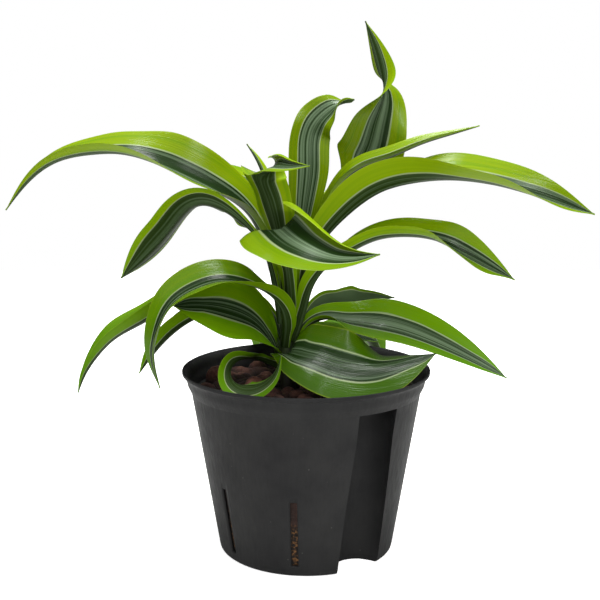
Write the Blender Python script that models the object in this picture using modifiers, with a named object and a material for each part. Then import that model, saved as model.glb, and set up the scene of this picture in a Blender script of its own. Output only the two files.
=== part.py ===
"""Potted lemon surprise dracaena in its hydroculture pot, as solid CAD.

Frame: metres, Z up, origin at the centre of the pot's flat base, which rests on the ground.
The photo looks along +Y, so the plant's front is the -Y side. Numbers below are millimetres.
Every leaf blade, the stem, the clay pebble bed and the pot are separate solids.
"""
import math
import random

import bmesh
import bpy
import numpy as np
from mathutils import Matrix

MM = 0.001
GAP = 0.3                      # space kept between pieces that touch on the real plant

# Pot: a slightly tapered moulded pot with a rim band, side slots and a gauge channel.
POT_HEIGHT = 82.0
RIM_RADIUS = 55.0
BASE_RADIUS = 38.9
TAPER_TOP = 72.0
TAPER_TOP_RADIUS = 50.9
WALL = 1.2
FLOOR = 1.5
POT_SEGMENTS = 64
SLOT_WIDTH = 3.1
SLOT_LOW = 5.0
SLOT_HIGH = 35.0
SLOT_FIRST_ANGLE = -97.0
SLOT_STEP = 45.0
SLOT_COUNT = 7                 # the eighth place is taken by the channel
CHANNEL_ANGLE = -54.0
CHANNEL_RADIUS = 11.0
CHANNEL_FOOT_DISTANCE = 37.7   # from the pot's axis to the channel's axis at the base
CHANNEL_LEAN = 0.083           # how far the channel's axis moves out for each unit up
CHANNEL_TOP = 72.3

# Expanded clay: a filling below, and on it a layer with pebbles half sunk in its top.
FILLING_TOP = 69.4
BED_TOP = 72.5
PEBBLE_COUNT = 58
PEBBLE_SMALL = 4.0
PEBBLE_LARGE = 5.6
PEBBLE_SINK = 1.2              # pebble centres lie this far below the top of the bed
PEBBLE_FIELD = 45.5
PEBBLE_SEED = 11

# Stem: the short cane with the oldest leaf bases grown into it. It stands left of the pot's axis.
STEM_X = -8.0
STEM_FOOT = 45.3
STEM_TOP = 118.0
STEM_PROFILE = ((STEM_FOOT, 3.6), (84.0, 3.6), (104.0, 3.8), (117.2, 4.2))
STEM_SEGMENTS = 20
HOLE_RADIUS = 4.1
HOLE_FLOOR = 45.0

# Leaf blades.
BLADE_THICKNESS = 0.8
ACROSS = (-1.0, -0.7, -0.35, 0.0, 0.35, 0.7, 1.0)
CLASP_HALF_WIDTH = 1.8
CLASP_FOLD = 12.0
PETIOLE_FOLD = 56.0
KEEL_ROUNDING = 0.12

# Each leaf: widths in mm, folds in degrees, shares of the length for the rest. The seat is where
# the leaf springs from: the stem's side (angle round the stem, height) or its top (offset x, y).
# The midrib lists points on the keel with the way the leaf's upper face looks there. A curl is
# the side (1 or -1), its degrees at that margin, and the shares where it begins, is full, fades
# and ends.
LEAVES = {
    "leaf_long_left": {
        "width": 31, "widest": 0.46, "fold": 38, "tip_power": 1.7, "neck": 0.34, "stations": 14,
        "seat": ("side", 155, 108),
        "midrib": [
            ((-16, 3, 126), (1, -0.1, 0.4)),
            ((-19.5, 3, 138), (0.9, -0.2, 0.6)),
            ((-26.5, 2, 151), (0.7, -0.3, 0.8)),
            ((-39, -1, 160.5), (0.4, -0.5, 0.8)),
            ((-53, -5, 168), (0.3, -0.62, 0.8)),
            ((-73, -8, 175.5), (0.1, -0.35, 0.95)),
            ((-91, -7, 176), (-0.15, -0.15, 1)),
            ((-107, -5, 172.5), (-0.4, -0.12, 0.9)),
            ((-120, -3, 163.5), (-0.6, -0.1, 0.75)),
            ((-130, -2, 152), (-0.75, -0.1, 0.6)),
        ],
    },
    "leaf_long_right": {
        "width": 33, "widest": 0.5, "fold": 38, "neck": 0.34, "stations": 14,
        "seat": ("side", -20, 106),
        "midrib": [
            ((0.5, -4.5, 123.5), (-1, 0.2, 0.5)),
            ((4, -7, 133), (-0.9, 0.3, 0.6)),
            ((9, -10, 141.5), (-0.75, 0.45, 0.75)),
            ((17.5, -12.5, 151), (-0.5, 0.5, 0.8)),
            ((30, -14, 160), (-0.3, 0.4, 0.9)),
            ((45.5, -14, 164.5), (-0.1, 0.15, 1)),
            ((62.5, -13, 165.5), (0.05, -0.2, 0.95)),
            ((81.5, -12, 163), (0.15, -0.35, 0.9)),
            ((101, -10, 158), (0.25, -0.75, 0.7)),
            ((114.5, -8, 153.5), (0.3, -0.95, 0.5)),
            ((123.5, -7, 150.5), (0.3, -0.95, 0.5)),
        ],
    },
    "leaf_slim_upper_right": {
        "width": 13, "widest": 0.52, "start": 0.14, "fold": 42, "neck": 0.32, "stations": 14,
        "seat": ("side", 20, 112),
        "midrib": [
            ((1.5, 5, 134), (-0.8, -0.3, 0.3)),
            ((8.5, 6, 150.5), (-0.7, -0.2, 0.5)),
            ((15, 4, 162), (-0.6, -0.2, 0.7)),
            ((24, 1, 170), (-0.4, -0.3, 0.85)),
            ((36, -1, 174.5), (-0.3, -0.3, 0.9)),
            ((49, -1, 180), (-0.3, -0.3, 0.9)),
            ((61.5, 0, 184), (-0.3, -0.2, 0.9)),
            ((74.5, 1, 188), (-0.3, -0.2, 0.9)),
        ],
    },
    "leaf_tall_twisted": {
        "width": 31, "start": 0.42, "widest": 0.55, "tip_power": 1.45, "fold": 24, "petiole_fold":
        24, "neck": 0.36, "tip_fold": 19, "tip_from": 0.44, "tip_to": 0.54, "stations": 14,
        "seat": ("side", 84, 114.5),
        "midrib": [
            ((-1, 11, 135.5), (-0.1, -1, 0.1)),
            ((7, 16, 148.5), (-0.1, -1, 0.1)),
            ((19.5, 18, 162.5), (0, -1, 0.2)),
            ((28.5, 16, 177), (0.1, -1, 0.15)),
            ((31.5, 13, 189.5), (0.25, -1, 0.1)),
            ((34, 11, 200.5), (0.75, -0.6, 0)),
            ((33, 10, 210), (0.9, 0.5, 0)),
            ((30, 10, 221), (0.7, 0.7, -0.2)),
            ((25.5, 10, 232.5), (0.6, 0.7, -0.3)),
        ],
    },
    "leaf_upright_curled": {
        "width": 18.5, "widest": 0.6, "start": 0.1, "tip_power": 4, "fold": 20, "petiole_fold": 22,
        "neck": 0.36, "stations": 14,
        "seat": ("top", 1.1, 0.2),
        "midrib": [
            ((-2.5, 1.5, 141), (0.1, -1, 0.1)),
            ((-0.5, 1.5, 156), (0, -1, 0.1)),
            ((1, 1.5, 169), (0, -1, 0.1)),
            ((1, 2, 179), (0.1, -1, 0.1)),
            ((2, 2.5, 185.5), (0.2, -1, 0.2)),
            ((5.5, 2, 191), (0.1, -0.9, 0.5)),
            ((11, 1, 195.5), (0, -0.8, 0.6)),
            ((16, 0, 197.5), (0, 0.1, 1)),
            ((20.5, -1, 199), (0.1, 1, 0.3)),
        ],
    },
    "leaf_folded_upper_left": {
        "width": 21, "widest": 0.6, "start": 0.2, "fold": 26, "petiole_fold": 24, "tip_fold": 5,
        "neck": 0.36, "curl": ((-1, 160, 0.6, 0.72, 1.2, 1.3),), "stations": 14,
        "seat": ("side", 249, 109),
        "midrib": [
            ((-9.5, -11.5, 130.5), (0.4, 0.9, 0.1)),
            ((-12.5, -13.5, 145.5), (0.4, 0.9, 0.2)),
            ((-16, -13, 158), (0.4, 0.85, 0.3)),
            ((-18.5, -13, 165.5), (0.2, 0.6, 0.75)),
            ((-16, -20, 169), (-0.45, 0.1, 0.9)),
            ((-12.5, -30, 172), (-0.25, -0.5, 0.85)),
            ((-7.5, -38, 172), (-0.1, -0.5, 0.85)),
            ((1, -44, 172.5), (0, -0.5, 0.85)),
        ],
    },
    "leaf_front_crossing": {
        "width": 37, "widest": 0.5, "start": 0.24, "fold": 28, "tip_fold": 4, "curl": ((-1, 150,
        0.38, 0.5, 1.2, 1.3), (1, -50, 0.3, 0.42, 0.46, 0.62),), "tip_from": 0.42, "tip_to": 0.66,
        "tip_power": 1.7, "neck": 0.25, "stations": 14,
        "seat": ("side", -88, 103),
        "midrib": [
            ((-7, -11, 114), (0, 1, 0.1)),
            ((-8, -16, 128.5), (0, 1, 0.15)),
            ((-10, -22, 140.5), (-0.1, 0.85, 0.5)),
            ((-11, -27, 146), (-0.36, 0.1, 0.92)),
            ((-7.5, -35, 144.5), (-0.35, -0.25, 0.9)),
            ((-0.5, -44, 141), (-0.15, -0.5, 0.85)),
            ((9, -52, 138), (0, -0.57, 0.8)),
            ((18.5, -58, 138), (0.1, -0.55, 0.8)),
            ((27.5, -62, 140), (0, -0.5, 0.8)),
        ],
    },
    "leaf_mid_right": {
        "width": 24, "widest": 0.58, "fold": 36, "neck": 0.35, "stations": 14,
        "seat": ("side", -44, 94),
        "midrib": [
            ((0, -6, 109.5), (-0.6, 0.5, 0.5)),
            ((2.5, -9, 119), (-0.6, 0.4, 0.6)),
            ((8.5, -12, 128), (-0.5, 0.3, 0.8)),
            ((18.5, -14, 135), (-0.4, 0.1, 0.9)),
            ((30, -15, 140.5), (-0.2, 0, 1)),
            ((42.5, -16, 142), (0, -0.1, 1)),
            ((54, -16, 140.5), (0.2, -0.25, 0.95)),
            ((66, -15, 135.5), (0.3, -0.8, 0.5)),
            ((78, -14, 129), (0.4, -0.9, 0.4)),
            ((89, -13, 123), (0.5, -0.8, 0.4)),
        ],
    },
    "leaf_low_right": {
        "width": 27, "widest": 0.48, "fold": 20, "neck": 0.34, "stations": 14,
        "seat": ("side", -22, 88),
        "midrib": [
            ((0.5, -0.5, 99), (-0.5, -0.2, 0.8)),
            ((8, 0.5, 103.5), (-0.3, -0.3, 0.9)),
            ((17, 0.5, 103), (-0.1, -0.42, 0.88)),
            ((30.5, -2.5, 102), (0, -0.55, 0.8)),
            ((43.5, -5, 99.5), (0.1, -0.55, 0.8)),
            ((58.5, -8, 94), (0.3, -0.55, 0.75)),
            ((73.5, -11, 87), (0.4, -0.55, 0.7)),
            ((87, -13, 80), (0.4, -0.5, 0.6)),
        ],
    },
    "leaf_low_front_wavy": {
        "width": 33, "widest": 0.46, "fold": 8, "petiole_fold": 30, "clasp": 4.2, "tip_fold": -24,
        "tip_from": 0.42, "tip_to": 0.72, "neck": 0.86, "stations": 14,
        "seat": ("side", -65, 82),
        "midrib": [
            ((-7.5, -11, 90.5), (-0.1, -0.4, 0.95)),
            ((-2, -15.5, 91), (0, -0.65, 0.75)),
            ((5, -18.5, 90), (0, -0.75, 0.65)),
            ((12, -20.5, 88), (0, -0.8, 0.6)),
            ((22.5, -22.5, 86.5), (0, -0.7, 0.7)),
            ((33, -23.5, 87.5), (-0.1, -0.5, 0.85)),
            ((44, -22.5, 90), (-0.2, -0.45, 0.85)),
            ((55, -20.5, 92.5), (-0.2, -0.4, 0.9)),
        ],
    },
    "leaf_ringed_low_left": {
        "width": 13.5, "widest": 0.5, "fold": 18, "neck": 0.5, "stations": 14,
        "seat": ("side", -112, 81),
        "midrib": [
            ((-20.5, -6, 86.5), (0, 0.1, 1)),
            ((-27, -15, 89), (-0.1, 0.4, 1)),
            ((-31.5, -20, 87.5), (-0.75, 0.5, 0.4)),
            ((-32, -26, 83.5), (-0.85, 0.55, -0.2)),
            ((-28, -31, 80.5), (-0.35, 0.55, -0.8)),
            ((-22, -33, 80.5), (0.3, 0.55, -0.8)),
            ((-16, -31, 83), (0.65, 0.55, -0.5)),
            ((-12.5, -28, 87), (0.8, 0.5, -0.2)),
            ((-10.5, -24, 92.5), (0.9, 0.4, -0.1)),
        ],
    },
    "leaf_low_far_left": {
        "width": 26, "widest": 0.55, "fold": 38, "neck": 0.3, "stations": 14,
        "seat": ("side", 140, 93),
        "midrib": [
            ((-20, 8, 107), (0.6, -0.2, 0.8)),
            ((-33.5, 11, 111.5), (0.3, -0.2, 0.9)),
            ((-48, 11, 111.5), (0, -0.1, 1)),
            ((-61, 9, 107.5), (-0.3, 0, 0.95)),
            ((-73, 8, 100.5), (-0.4, 0, 0.9)),
            ((-85, 6, 94), (-0.5, -0.1, 0.85)),
            ((-93, 5, 86.5), (-0.65, -0.1, 0.75)),
            ((-99, 4, 78), (-0.85, -0.1, 0.5)),
            ((-103, 4, 69), (-0.9, -0.1, 0.4)),
        ],
    },
    "leaf_arched_low_left": {
        "width": 22, "widest": 0.42, "fold": 30, "petiole_fold": 38, "neck": 0.4, "stations": 14,
        "seat": ("side", -124, 92),
        "midrib": [
            ((-10, -13.5, 108), (0.6, 0.6, 0.4)),
            ((-14.5, -15, 116), (0.5, 0.3, 0.8)),
            ((-23, -16, 121), (0.25, -0.1, 0.95)),
            ((-35.5, -18, 123.5), (0.1, -0.35, 0.9)),
            ((-46.5, -20, 121), (-0.15, -0.5, 0.85)),
            ((-56, -22, 115), (-0.5, -0.5, 0.7)),
            ((-62, -22, 105), (-0.8, -0.5, 0.4)),
            ((-65, -20, 92), (-0.85, -0.5, 0.1)),
            ((-63, -17, 76.5), (-0.9, -0.4, -0.1)),
        ],
    },
    "leaf_behind_arch_left": {
        "width": 24, "widest": 0.6, "fold": 36, "neck": 0.35, "stations": 12,
        "seat": ("side", 172, 87),
        "midrib": [
            ((-19, 3, 97), (0.4, 0, 0.9)),
            ((-30.5, 4, 103.5), (0.2, 0, 1)),
            ((-43.5, 3, 105), (-0.1, 0.1, 1)),
            ((-55, 1, 100), (-0.4, 0.1, 0.9)),
            ((-65, 0, 91), (-0.6, 0.1, 0.8)),
            ((-74.5, 0, 79), (-0.7, 0, 0.7)),
        ],
    },
    "leaf_broad_low_left": {
        "width": 31, "widest": 0.55, "fold": 14, "petiole_fold": 30, "neck": 0.26, "stations": 10,
        "seat": ("side", 223, 84),
        "midrib": [
            ((-16.5, -7, 96.5), (0.5, -0.4, 0.75)),
            ((-23, -9.5, 104.5), (0.3, -0.6, 0.75)),
            ((-32.5, -12, 109.5), (0.1, -0.75, 0.65)),
            ((-43.5, -14, 112), (-0.1, -0.75, 0.65)),
            ((-56.5, -15, 112), (-0.2, -0.8, 0.6)),
        ],
    },
    "leaf_small_back_right": {
        "width": 15, "widest": 0.45, "fold": 20, "neck": 0.6, "stations": 12,
        "seat": ("side", 52, 96),
        "midrib": [
            ((0, 6, 101), (-0.6, -0.1, 0.6)),
            ((5.5, 8, 107), (-0.4, 0.7, 0.6)),
            ((13.5, 11, 109), (-0.2, 0.9, 0.5)),
            ((23, 14, 109), (-0.2, 0.9, 0.5)),
            ((32, 16, 110), (-0.2, 0.8, 0.6)),
            ((40.5, 17, 110.5), (-0.2, 0.7, 0.7)),
        ],
    },
    "leaf_small_low_back_right": {
        "width": 15, "widest": 0.5, "fold": 25, "neck": 0.5, "stations": 10,
        "seat": ("side", 28, 83),
        "midrib": [
            ((2.5, 8, 95.5), (-0.3, -0.2, 0.9)),
            ((14.5, 14, 94), (-0.1, -0.3, 0.9)),
            ((25, 19, 91), (0.1, -0.4, 0.9)),
            ((34, 23, 88.5), (0.2, -0.4, 0.9)),
        ],
    },
    "leaf_drooping_left": {
        "width": 26, "widest": 0.7, "start": 0.35, "fold": 22, "neck": 0.26, "stations": 14,
        "seat": ("side", 200, 102),
        "midrib": [
            ((-16.5, -6, 129), (0.9, 0.3, 0.5)),
            ((-21.5, -9.5, 141), (0.7, 0.4, 0.7)),
            ((-30, -11, 149.5), (0.4, 0.6, 0.7)),
            ((-41, -6.5, 154.5), (-0.1, 0.7, 0.7)),
            ((-50.5, 0, 152.5), (-0.6, 0.6, 0.5)),
            ((-59, 5, 143.5), (-0.8, 0.5, 0.3)),
            ((-69.5, 8, 132.5), (-0.75, 0.6, 0.25)),
            ((-83, 10, 120.5), (-0.7, 0.7, 0.2)),
        ],
    },
    "leaf_young_spear": {
        "width": 8, "widest": 0.5, "fold": 45, "neck": 0.6, "stations": 10,
        "seat": ("top", -2.8, -0.3),
        "midrib": [
            ((-12.5, -1, 145.5), (0.3, 0.9, 0.2)),
            ((-16.5, 1.5, 160.5), (0.4, 0.8, 0.3)),
            ((-21, 5, 172), (0.5, 0.7, 0.3)),
            ((-26, 9, 180), (0.5, 0.7, 0.3)),
        ],
    },
    "leaf_back_low_left": {
        "width": 24, "widest": 0.5, "fold": 28, "neck": 0.4, "stations": 10,
        "seat": ("side", 128, 82),
        "midrib": [
            ((-12, 18, 90), (0, -0.2, 1)),
            ((-15, 38, 91), (0, 0, 1)),
            ((-18, 58, 86), (0, 0.3, 0.95)),
            ((-20, 74, 73), (0, 0.6, 0.8)),
            ((-21, 84, 58), (0, 0.8, 0.6)),
        ],
    },
    "leaf_back_low_right": {
        "width": 22, "widest": 0.5, "fold": 30, "neck": 0.4, "stations": 10,
        "seat": ("side", 78, 86),
        "midrib": [
            ((4, 18, 87), (-0.1, -0.2, 1)),
            ((16, 36, 90), (0, 0, 1)),
            ((27, 53, 87), (0.1, 0.3, 0.95)),
            ((35, 66, 77), (0.2, 0.6, 0.8)),
            ((40, 75, 64), (0.3, 0.8, 0.6)),
        ],
    },
    "leaf_back_high_right": {
        "width": 12.5, "widest": 0.55, "fold": 38, "neck": 0.4, "stations": 12,
        "seat": ("side", 46, 106),
        "midrib": [
            ((2.5, 18, 135.5), (-0.3, -0.8, 0.5)),
            ((10, 26, 150), (-0.3, -0.5, 0.8)),
            ((17.5, 37, 158.5), (-0.2, -0.3, 0.9)),
            ((25, 49, 164.5), (-0.1, 0, 1)),
            ((32, 61, 165.5), (0, 0.1, 1)),
            ((39.5, 73, 165), (0.1, 0.2, 0.95)),
        ],
    },
    "leaf_back_high_left": {
        "width": 18, "widest": 0.55, "fold": 38, "neck": 0.4, "stations": 12,
        "seat": ("side", 112, 110),
        "midrib": [
            ((-10, 18, 143.5), (0.4, -0.7, 0.5)),
            ((-19, 27, 155), (0.4, -0.5, 0.8)),
            ((-28.5, 38, 161), (0.3, -0.3, 0.9)),
            ((-37.5, 51, 165), (0.1, 0, 1)),
            ((-46, 63, 167.5), (0, 0.1, 0.95)),
            ((-53.5, 73, 167.5), (0, 0.2, 0.95)),
        ],
    },
}


def clear_scene():
    for item in list(bpy.data.objects):
        bpy.data.objects.remove(item, do_unlink=True)


def collection(name):
    group = bpy.data.collections.new(name)
    bpy.context.scene.collection.children.link(group)
    return group


def material(name, colour, roughness):
    made = bpy.data.materials.new(name)
    made.use_nodes = True
    shader = made.node_tree.nodes["Principled BSDF"]
    shader.inputs["Base Color"].default_value = (*colour, 1.0)
    shader.inputs["Roughness"].default_value = roughness
    return made


def add_object(name, mesh, group):
    made = bpy.data.objects.new(name, mesh)
    group.objects.link(made)
    return made


def mesh_from(name, points, faces):
    """Mesh from millimetre points."""
    mesh = bpy.data.meshes.new(name)
    mesh.from_pydata([[value * MM for value in point] for point in points], [], faces)
    mesh.validate()
    mesh.update()
    return mesh


def bake(item, x=0.0):
    """Replaces an object's mesh by its evaluated shape, moved along X, and drops the modifiers."""
    bpy.context.view_layer.update()
    graph = bpy.context.evaluated_depsgraph_get()
    mesh = bpy.data.meshes.new_from_object(item.evaluated_get(graph))
    mesh.transform(Matrix.Translation((x * MM, 0.0, 0.0)))
    item.modifiers.clear()
    item.data = mesh


def boolean(item, operation, other=None, group=None):
    change = item.modifiers.new(operation.title(), "BOOLEAN")
    change.operation = operation
    change.solver = "MANIFOLD"
    if group is None:
        change.object = other
    else:
        change.operand_type = "COLLECTION"
        change.collection = group


def revolve(name, profile, segments, group, x=0.0):
    """Solid of revolution about the upright line at x, from (height, radius) points running
    down the outer side."""
    points = [(radius, 0.0, height) for height, radius in profile]
    mesh = bpy.data.meshes.new(name)
    mesh.from_pydata([[value * MM for value in point] for point in points],
                     [(i, i + 1) for i in range(len(points) - 1)], [])
    item = add_object(name, mesh, group)
    turn = item.modifiers.new("Turn", "SCREW")
    turn.axis = "Z"
    turn.angle = math.tau
    turn.steps = segments
    turn.render_steps = segments
    turn.use_merge_vertices = True
    turn.merge_threshold = 0.00001
    bake(item, x)
    shape = bmesh.new()
    shape.from_mesh(item.data)
    bmesh.ops.recalc_face_normals(shape, faces=shape.faces)
    shape.to_mesh(item.data)
    shape.free()
    return item


def as_cutter(item):
    item.hide_render = True
    item.display_type = "WIRE"
    return item


def smooth_shading(item, degrees=35.0):
    item.data.shade_smooth()
    item.data.set_sharp_from_angle(angle=math.radians(degrees))


def wall_radius(height):
    """Outer radius of the plain tapered wall."""
    return BASE_RADIUS + (TAPER_TOP_RADIUS - BASE_RADIUS) * height / TAPER_TOP


def round_bar(name, radius, low, high, segments, place, group):
    """Capped round bar between two heights, then put in place by a matrix."""
    shape = bmesh.new()
    bmesh.ops.create_cone(shape, cap_ends=True, segments=segments, radius1=radius * MM,
                          radius2=radius * MM, depth=(high - low) * MM)
    bmesh.ops.translate(shape, verts=shape.verts, vec=(0.0, 0.0, (high + low) / 2 * MM))
    bmesh.ops.transform(shape, matrix=place, verts=shape.verts)
    mesh = bpy.data.meshes.new(name)
    shape.to_mesh(mesh)
    shape.free()
    return add_object(name, mesh, group)


def channel_bar(name, spare, group):
    """The gauge channel's space, spare millimetres larger. It leans outward with the wall."""
    lean = Matrix.Identity(4)
    lean[0][2] = CHANNEL_LEAN
    move = Matrix.Translation((CHANNEL_FOOT_DISTANCE * MM, 0.0, 0.0))
    turn = Matrix.Rotation(math.radians(CHANNEL_ANGLE), 4, "Z")
    return round_bar(name, CHANNEL_RADIUS + spare, -5.0, CHANNEL_TOP + spare, 32, turn @ move @ lean,
                     group)


def slot_bars(group):
    """One mesh holding a bar for every drain slot."""
    shape = bmesh.new()
    for index in range(SLOT_COUNT):
        angle = math.radians(SLOT_FIRST_ANGLE - SLOT_STEP * index)
        made = bmesh.ops.create_cube(shape, size=1.0)["verts"]
        size = Matrix.Diagonal((30.0 * MM, SLOT_WIDTH * MM, (SLOT_HIGH - SLOT_LOW) * MM, 1.0))
        place = Matrix.Translation((46.0 * MM, 0.0, (SLOT_HIGH + SLOT_LOW) / 2 * MM))
        turn = Matrix.Rotation(angle, 4, "Z")
        bmesh.ops.transform(shape, matrix=turn @ place @ size, verts=made)
    mesh = bpy.data.meshes.new("slot_bars")
    shape.to_mesh(mesh)
    shape.free()
    return add_object("slot_bars", mesh, group)


def make_pot(group, cutters):
    outer = [
        (POT_HEIGHT, 0.0), (POT_HEIGHT, RIM_RADIUS - 0.5), (POT_HEIGHT - 0.5, RIM_RADIUS),
        (POT_HEIGHT - 1.4, RIM_RADIUS), (POT_HEIGHT - 2.0, RIM_RADIUS - 0.9), (79.0, 53.3),
        (75.6, 52.6), (TAPER_TOP, TAPER_TOP_RADIUS), (3.0, wall_radius(3.0)),
        (1.0, BASE_RADIUS - 0.5), (0.0, BASE_RADIUS - 2.2), (0.0, 0.0),
    ]
    inner = [
        (POT_HEIGHT + 2.0, 0.0), (POT_HEIGHT + 2.0, RIM_RADIUS - WALL - 0.4),
        (POT_HEIGHT, RIM_RADIUS - WALL - 0.4), (79.0, 53.3 - WALL), (75.6, 52.6 - WALL),
        (TAPER_TOP, TAPER_TOP_RADIUS - WALL),
        (FLOOR, wall_radius(FLOOR) - WALL), (FLOOR, 0.0),
    ]
    pot = revolve("pot", outer, POT_SEGMENTS, group)
    room = as_cutter(revolve("pot_room", inner, POT_SEGMENTS, cutters))
    housing = as_cutter(channel_bar("channel_housing", WALL, cutters))
    boolean(room, "DIFFERENCE", housing)
    bake(room)
    channel = as_cutter(channel_bar("channel", 0.0, cutters))
    slots = as_cutter(slot_bars(cutters))
    boolean(pot, "DIFFERENCE", room)
    boolean(pot, "DIFFERENCE", channel)
    boolean(pot, "DIFFERENCE", slots)
    bake(pot)
    smooth_shading(pot)
    pot.data.materials.append(material("pot_charcoal_plastic", (0.035, 0.036, 0.038), 0.55))


def pebble_places():
    """Pebble centres on a turning spiral, shifted a little by a seeded rule."""
    chance = random.Random(PEBBLE_SEED)
    channel = CHANNEL_FOOT_DISTANCE + CHANNEL_LEAN * CHANNEL_TOP
    channel_x = channel * math.cos(math.radians(CHANNEL_ANGLE))
    channel_y = channel * math.sin(math.radians(CHANNEL_ANGLE))
    places = []
    for index in range(PEBBLE_COUNT):
        radius = chance.uniform(PEBBLE_SMALL, PEBBLE_LARGE)
        reach = (PEBBLE_FIELD - 0.4) * math.sqrt((index + 0.5) / PEBBLE_COUNT)
        angle = index * math.radians(137.5) + chance.uniform(-0.12, 0.12)
        x = reach * math.cos(angle)
        y = reach * math.sin(angle)
        squash = chance.uniform(0.82, 1.0)
        turn = chance.uniform(0.0, math.tau)
        off_stem = math.hypot(x - STEM_X, y) > HOLE_RADIUS + 1.5 + radius * 0.5
        off_channel = math.hypot(x - channel_x, y - channel_y) > CHANNEL_RADIUS + WALL + GAP
        if off_stem and off_channel:
            places.append((x, y, radius, squash, turn))
    return places


def pebble(name, place, group):
    x, y, radius, squash, turn = place
    shape = bmesh.new()
    bmesh.ops.create_icosphere(shape, subdivisions=1, radius=radius * MM)
    stretch = Matrix.Diagonal((1.0, squash, 0.5 + 0.5 * squash, 1.0))
    spin = Matrix.Rotation(turn, 4, "Z")
    move = Matrix.Translation((x * MM, y * MM, (BED_TOP - PEBBLE_SINK) * MM))
    bmesh.ops.transform(shape, matrix=move @ spin @ stretch, verts=shape.verts)
    mesh = bpy.data.meshes.new(name)
    shape.to_mesh(mesh)
    shape.free()
    return add_object(name, mesh, group)


def clear_for_neighbours(clay, cutters):
    """Cuts the gauge channel's housing and the stem's hole out of a clay body, with a gap."""
    clear = as_cutter(channel_bar(clay.name + "_channel_clearance", WALL + GAP, cutters))
    hole = as_cutter(round_bar(clay.name + "_stem_hole", HOLE_RADIUS, HOLE_FLOOR, BED_TOP + 20.0, 24,
                               Matrix.Translation((STEM_X * MM, 0.0, 0.0)), cutters))
    boolean(clay, "DIFFERENCE", clear)
    boolean(clay, "DIFFERENCE", hole)
    bake(clay)


def make_filling(group, cutters, finish):
    """Pebbles below the top layer, as one plain body that follows the pot's wall."""
    low = FLOOR + GAP
    profile = [(FILLING_TOP, 0.0), (FILLING_TOP, wall_radius(FILLING_TOP) - WALL - GAP),
               (low, wall_radius(low) - WALL - GAP), (low, 0.0)]
    filling = revolve("clay_pebbles_below", profile, POT_SEGMENTS, group)
    clear_for_neighbours(filling, cutters)
    filling.data.materials.append(finish)


def make_pebbles(group, cutters, finish):
    """Top layer: a thin round bed fused with the heap of pebbles that show."""
    reach = wall_radius(FILLING_TOP + GAP) - WALL - GAP
    bed = round_bar("clay_pebbles", reach, FILLING_TOP + GAP, BED_TOP, POT_SEGMENTS,
                    Matrix.Identity(4), group)
    heap = collection("pebble_heap")
    for index, place in enumerate(pebble_places()):
        pebble(f"pebble_{index}", place, heap)
    boolean(bed, "UNION", group=heap)
    room = as_cutter(round_bar("layer_room", POT_HEIGHT, FILLING_TOP + GAP, BED_TOP + 20.0, 32,
                               Matrix.Identity(4), cutters))
    boolean(bed, "INTERSECT", room)
    bake(bed)
    for item in list(heap.objects):
        bpy.data.objects.remove(item, do_unlink=True)
    bpy.data.collections.remove(heap)
    clear_for_neighbours(bed, cutters)
    bed.data.materials.append(finish)


def stem_radius(height):
    heights = [row[0] for row in STEM_PROFILE]
    radii = [row[1] for row in STEM_PROFILE]
    return float(np.interp(height, heights, radii))


def make_stem(group):
    profile = [(STEM_TOP, 0.0), (STEM_TOP, STEM_PROFILE[-1][1] - 0.8)]
    profile += [row for row in reversed(STEM_PROFILE)]
    profile.append((STEM_FOOT, 0.0))
    stem = revolve("stem", profile, STEM_SEGMENTS, group, STEM_X)
    smooth_shading(stem)
    stem.data.materials.append(material("stem_green_cane", (0.06, 0.10, 0.04), 0.5))


def ease(low, high, share):
    """Smooth step from 0 at low to 1 at high."""
    part = np.clip((share - low) / (high - low), 0.0, 1.0)
    return part * part * (3.0 - 2.0 * part)


def natural_spline(knots, values, at):
    """Natural cubic spline through values at knots, read at the given places."""
    count = len(knots)
    step = np.diff(knots)
    system = np.eye(count)
    right = np.zeros((count, values.shape[1]))
    for i in range(1, count - 1):
        system[i, i - 1:i + 2] = step[i - 1], 2.0 * (step[i - 1] + step[i]), step[i]
        after = (values[i + 1] - values[i]) / step[i]
        before = (values[i] - values[i - 1]) / step[i - 1]
        right[i] = 6.0 * (after - before)
    bend = np.linalg.solve(system, right)
    i = np.clip(np.searchsorted(knots, at) - 1, 0, count - 2)
    width = step[i][:, None]
    a = ((knots[i + 1] - at) / step[i])[:, None]
    b = 1.0 - a
    curve = ((a ** 3 - a) * bend[i] + (b ** 3 - b) * bend[i + 1]) * width ** 2 / 6.0
    return a * values[i] + b * values[i + 1] + curve


def unit(rows):
    return rows / np.linalg.norm(rows, axis=-1, keepdims=True)


def seat_point(seat):
    """First keel point and facing of a leaf, just off the stem's side or top."""
    kind, first, second = seat
    stand_off = GAP + BLADE_THICKNESS / 2 + 0.05
    if kind == "top":
        return np.array([STEM_X + first, second, STEM_TOP + GAP + 0.4]), np.array([0.0, -1.0, 0.0])
    angle = math.radians(first)
    outward = np.array([math.cos(angle), math.sin(angle), 0.0])
    middle = np.array([STEM_X, 0.0, second])
    return middle + outward * (stem_radius(second) + stand_off + 0.15), -outward


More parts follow.
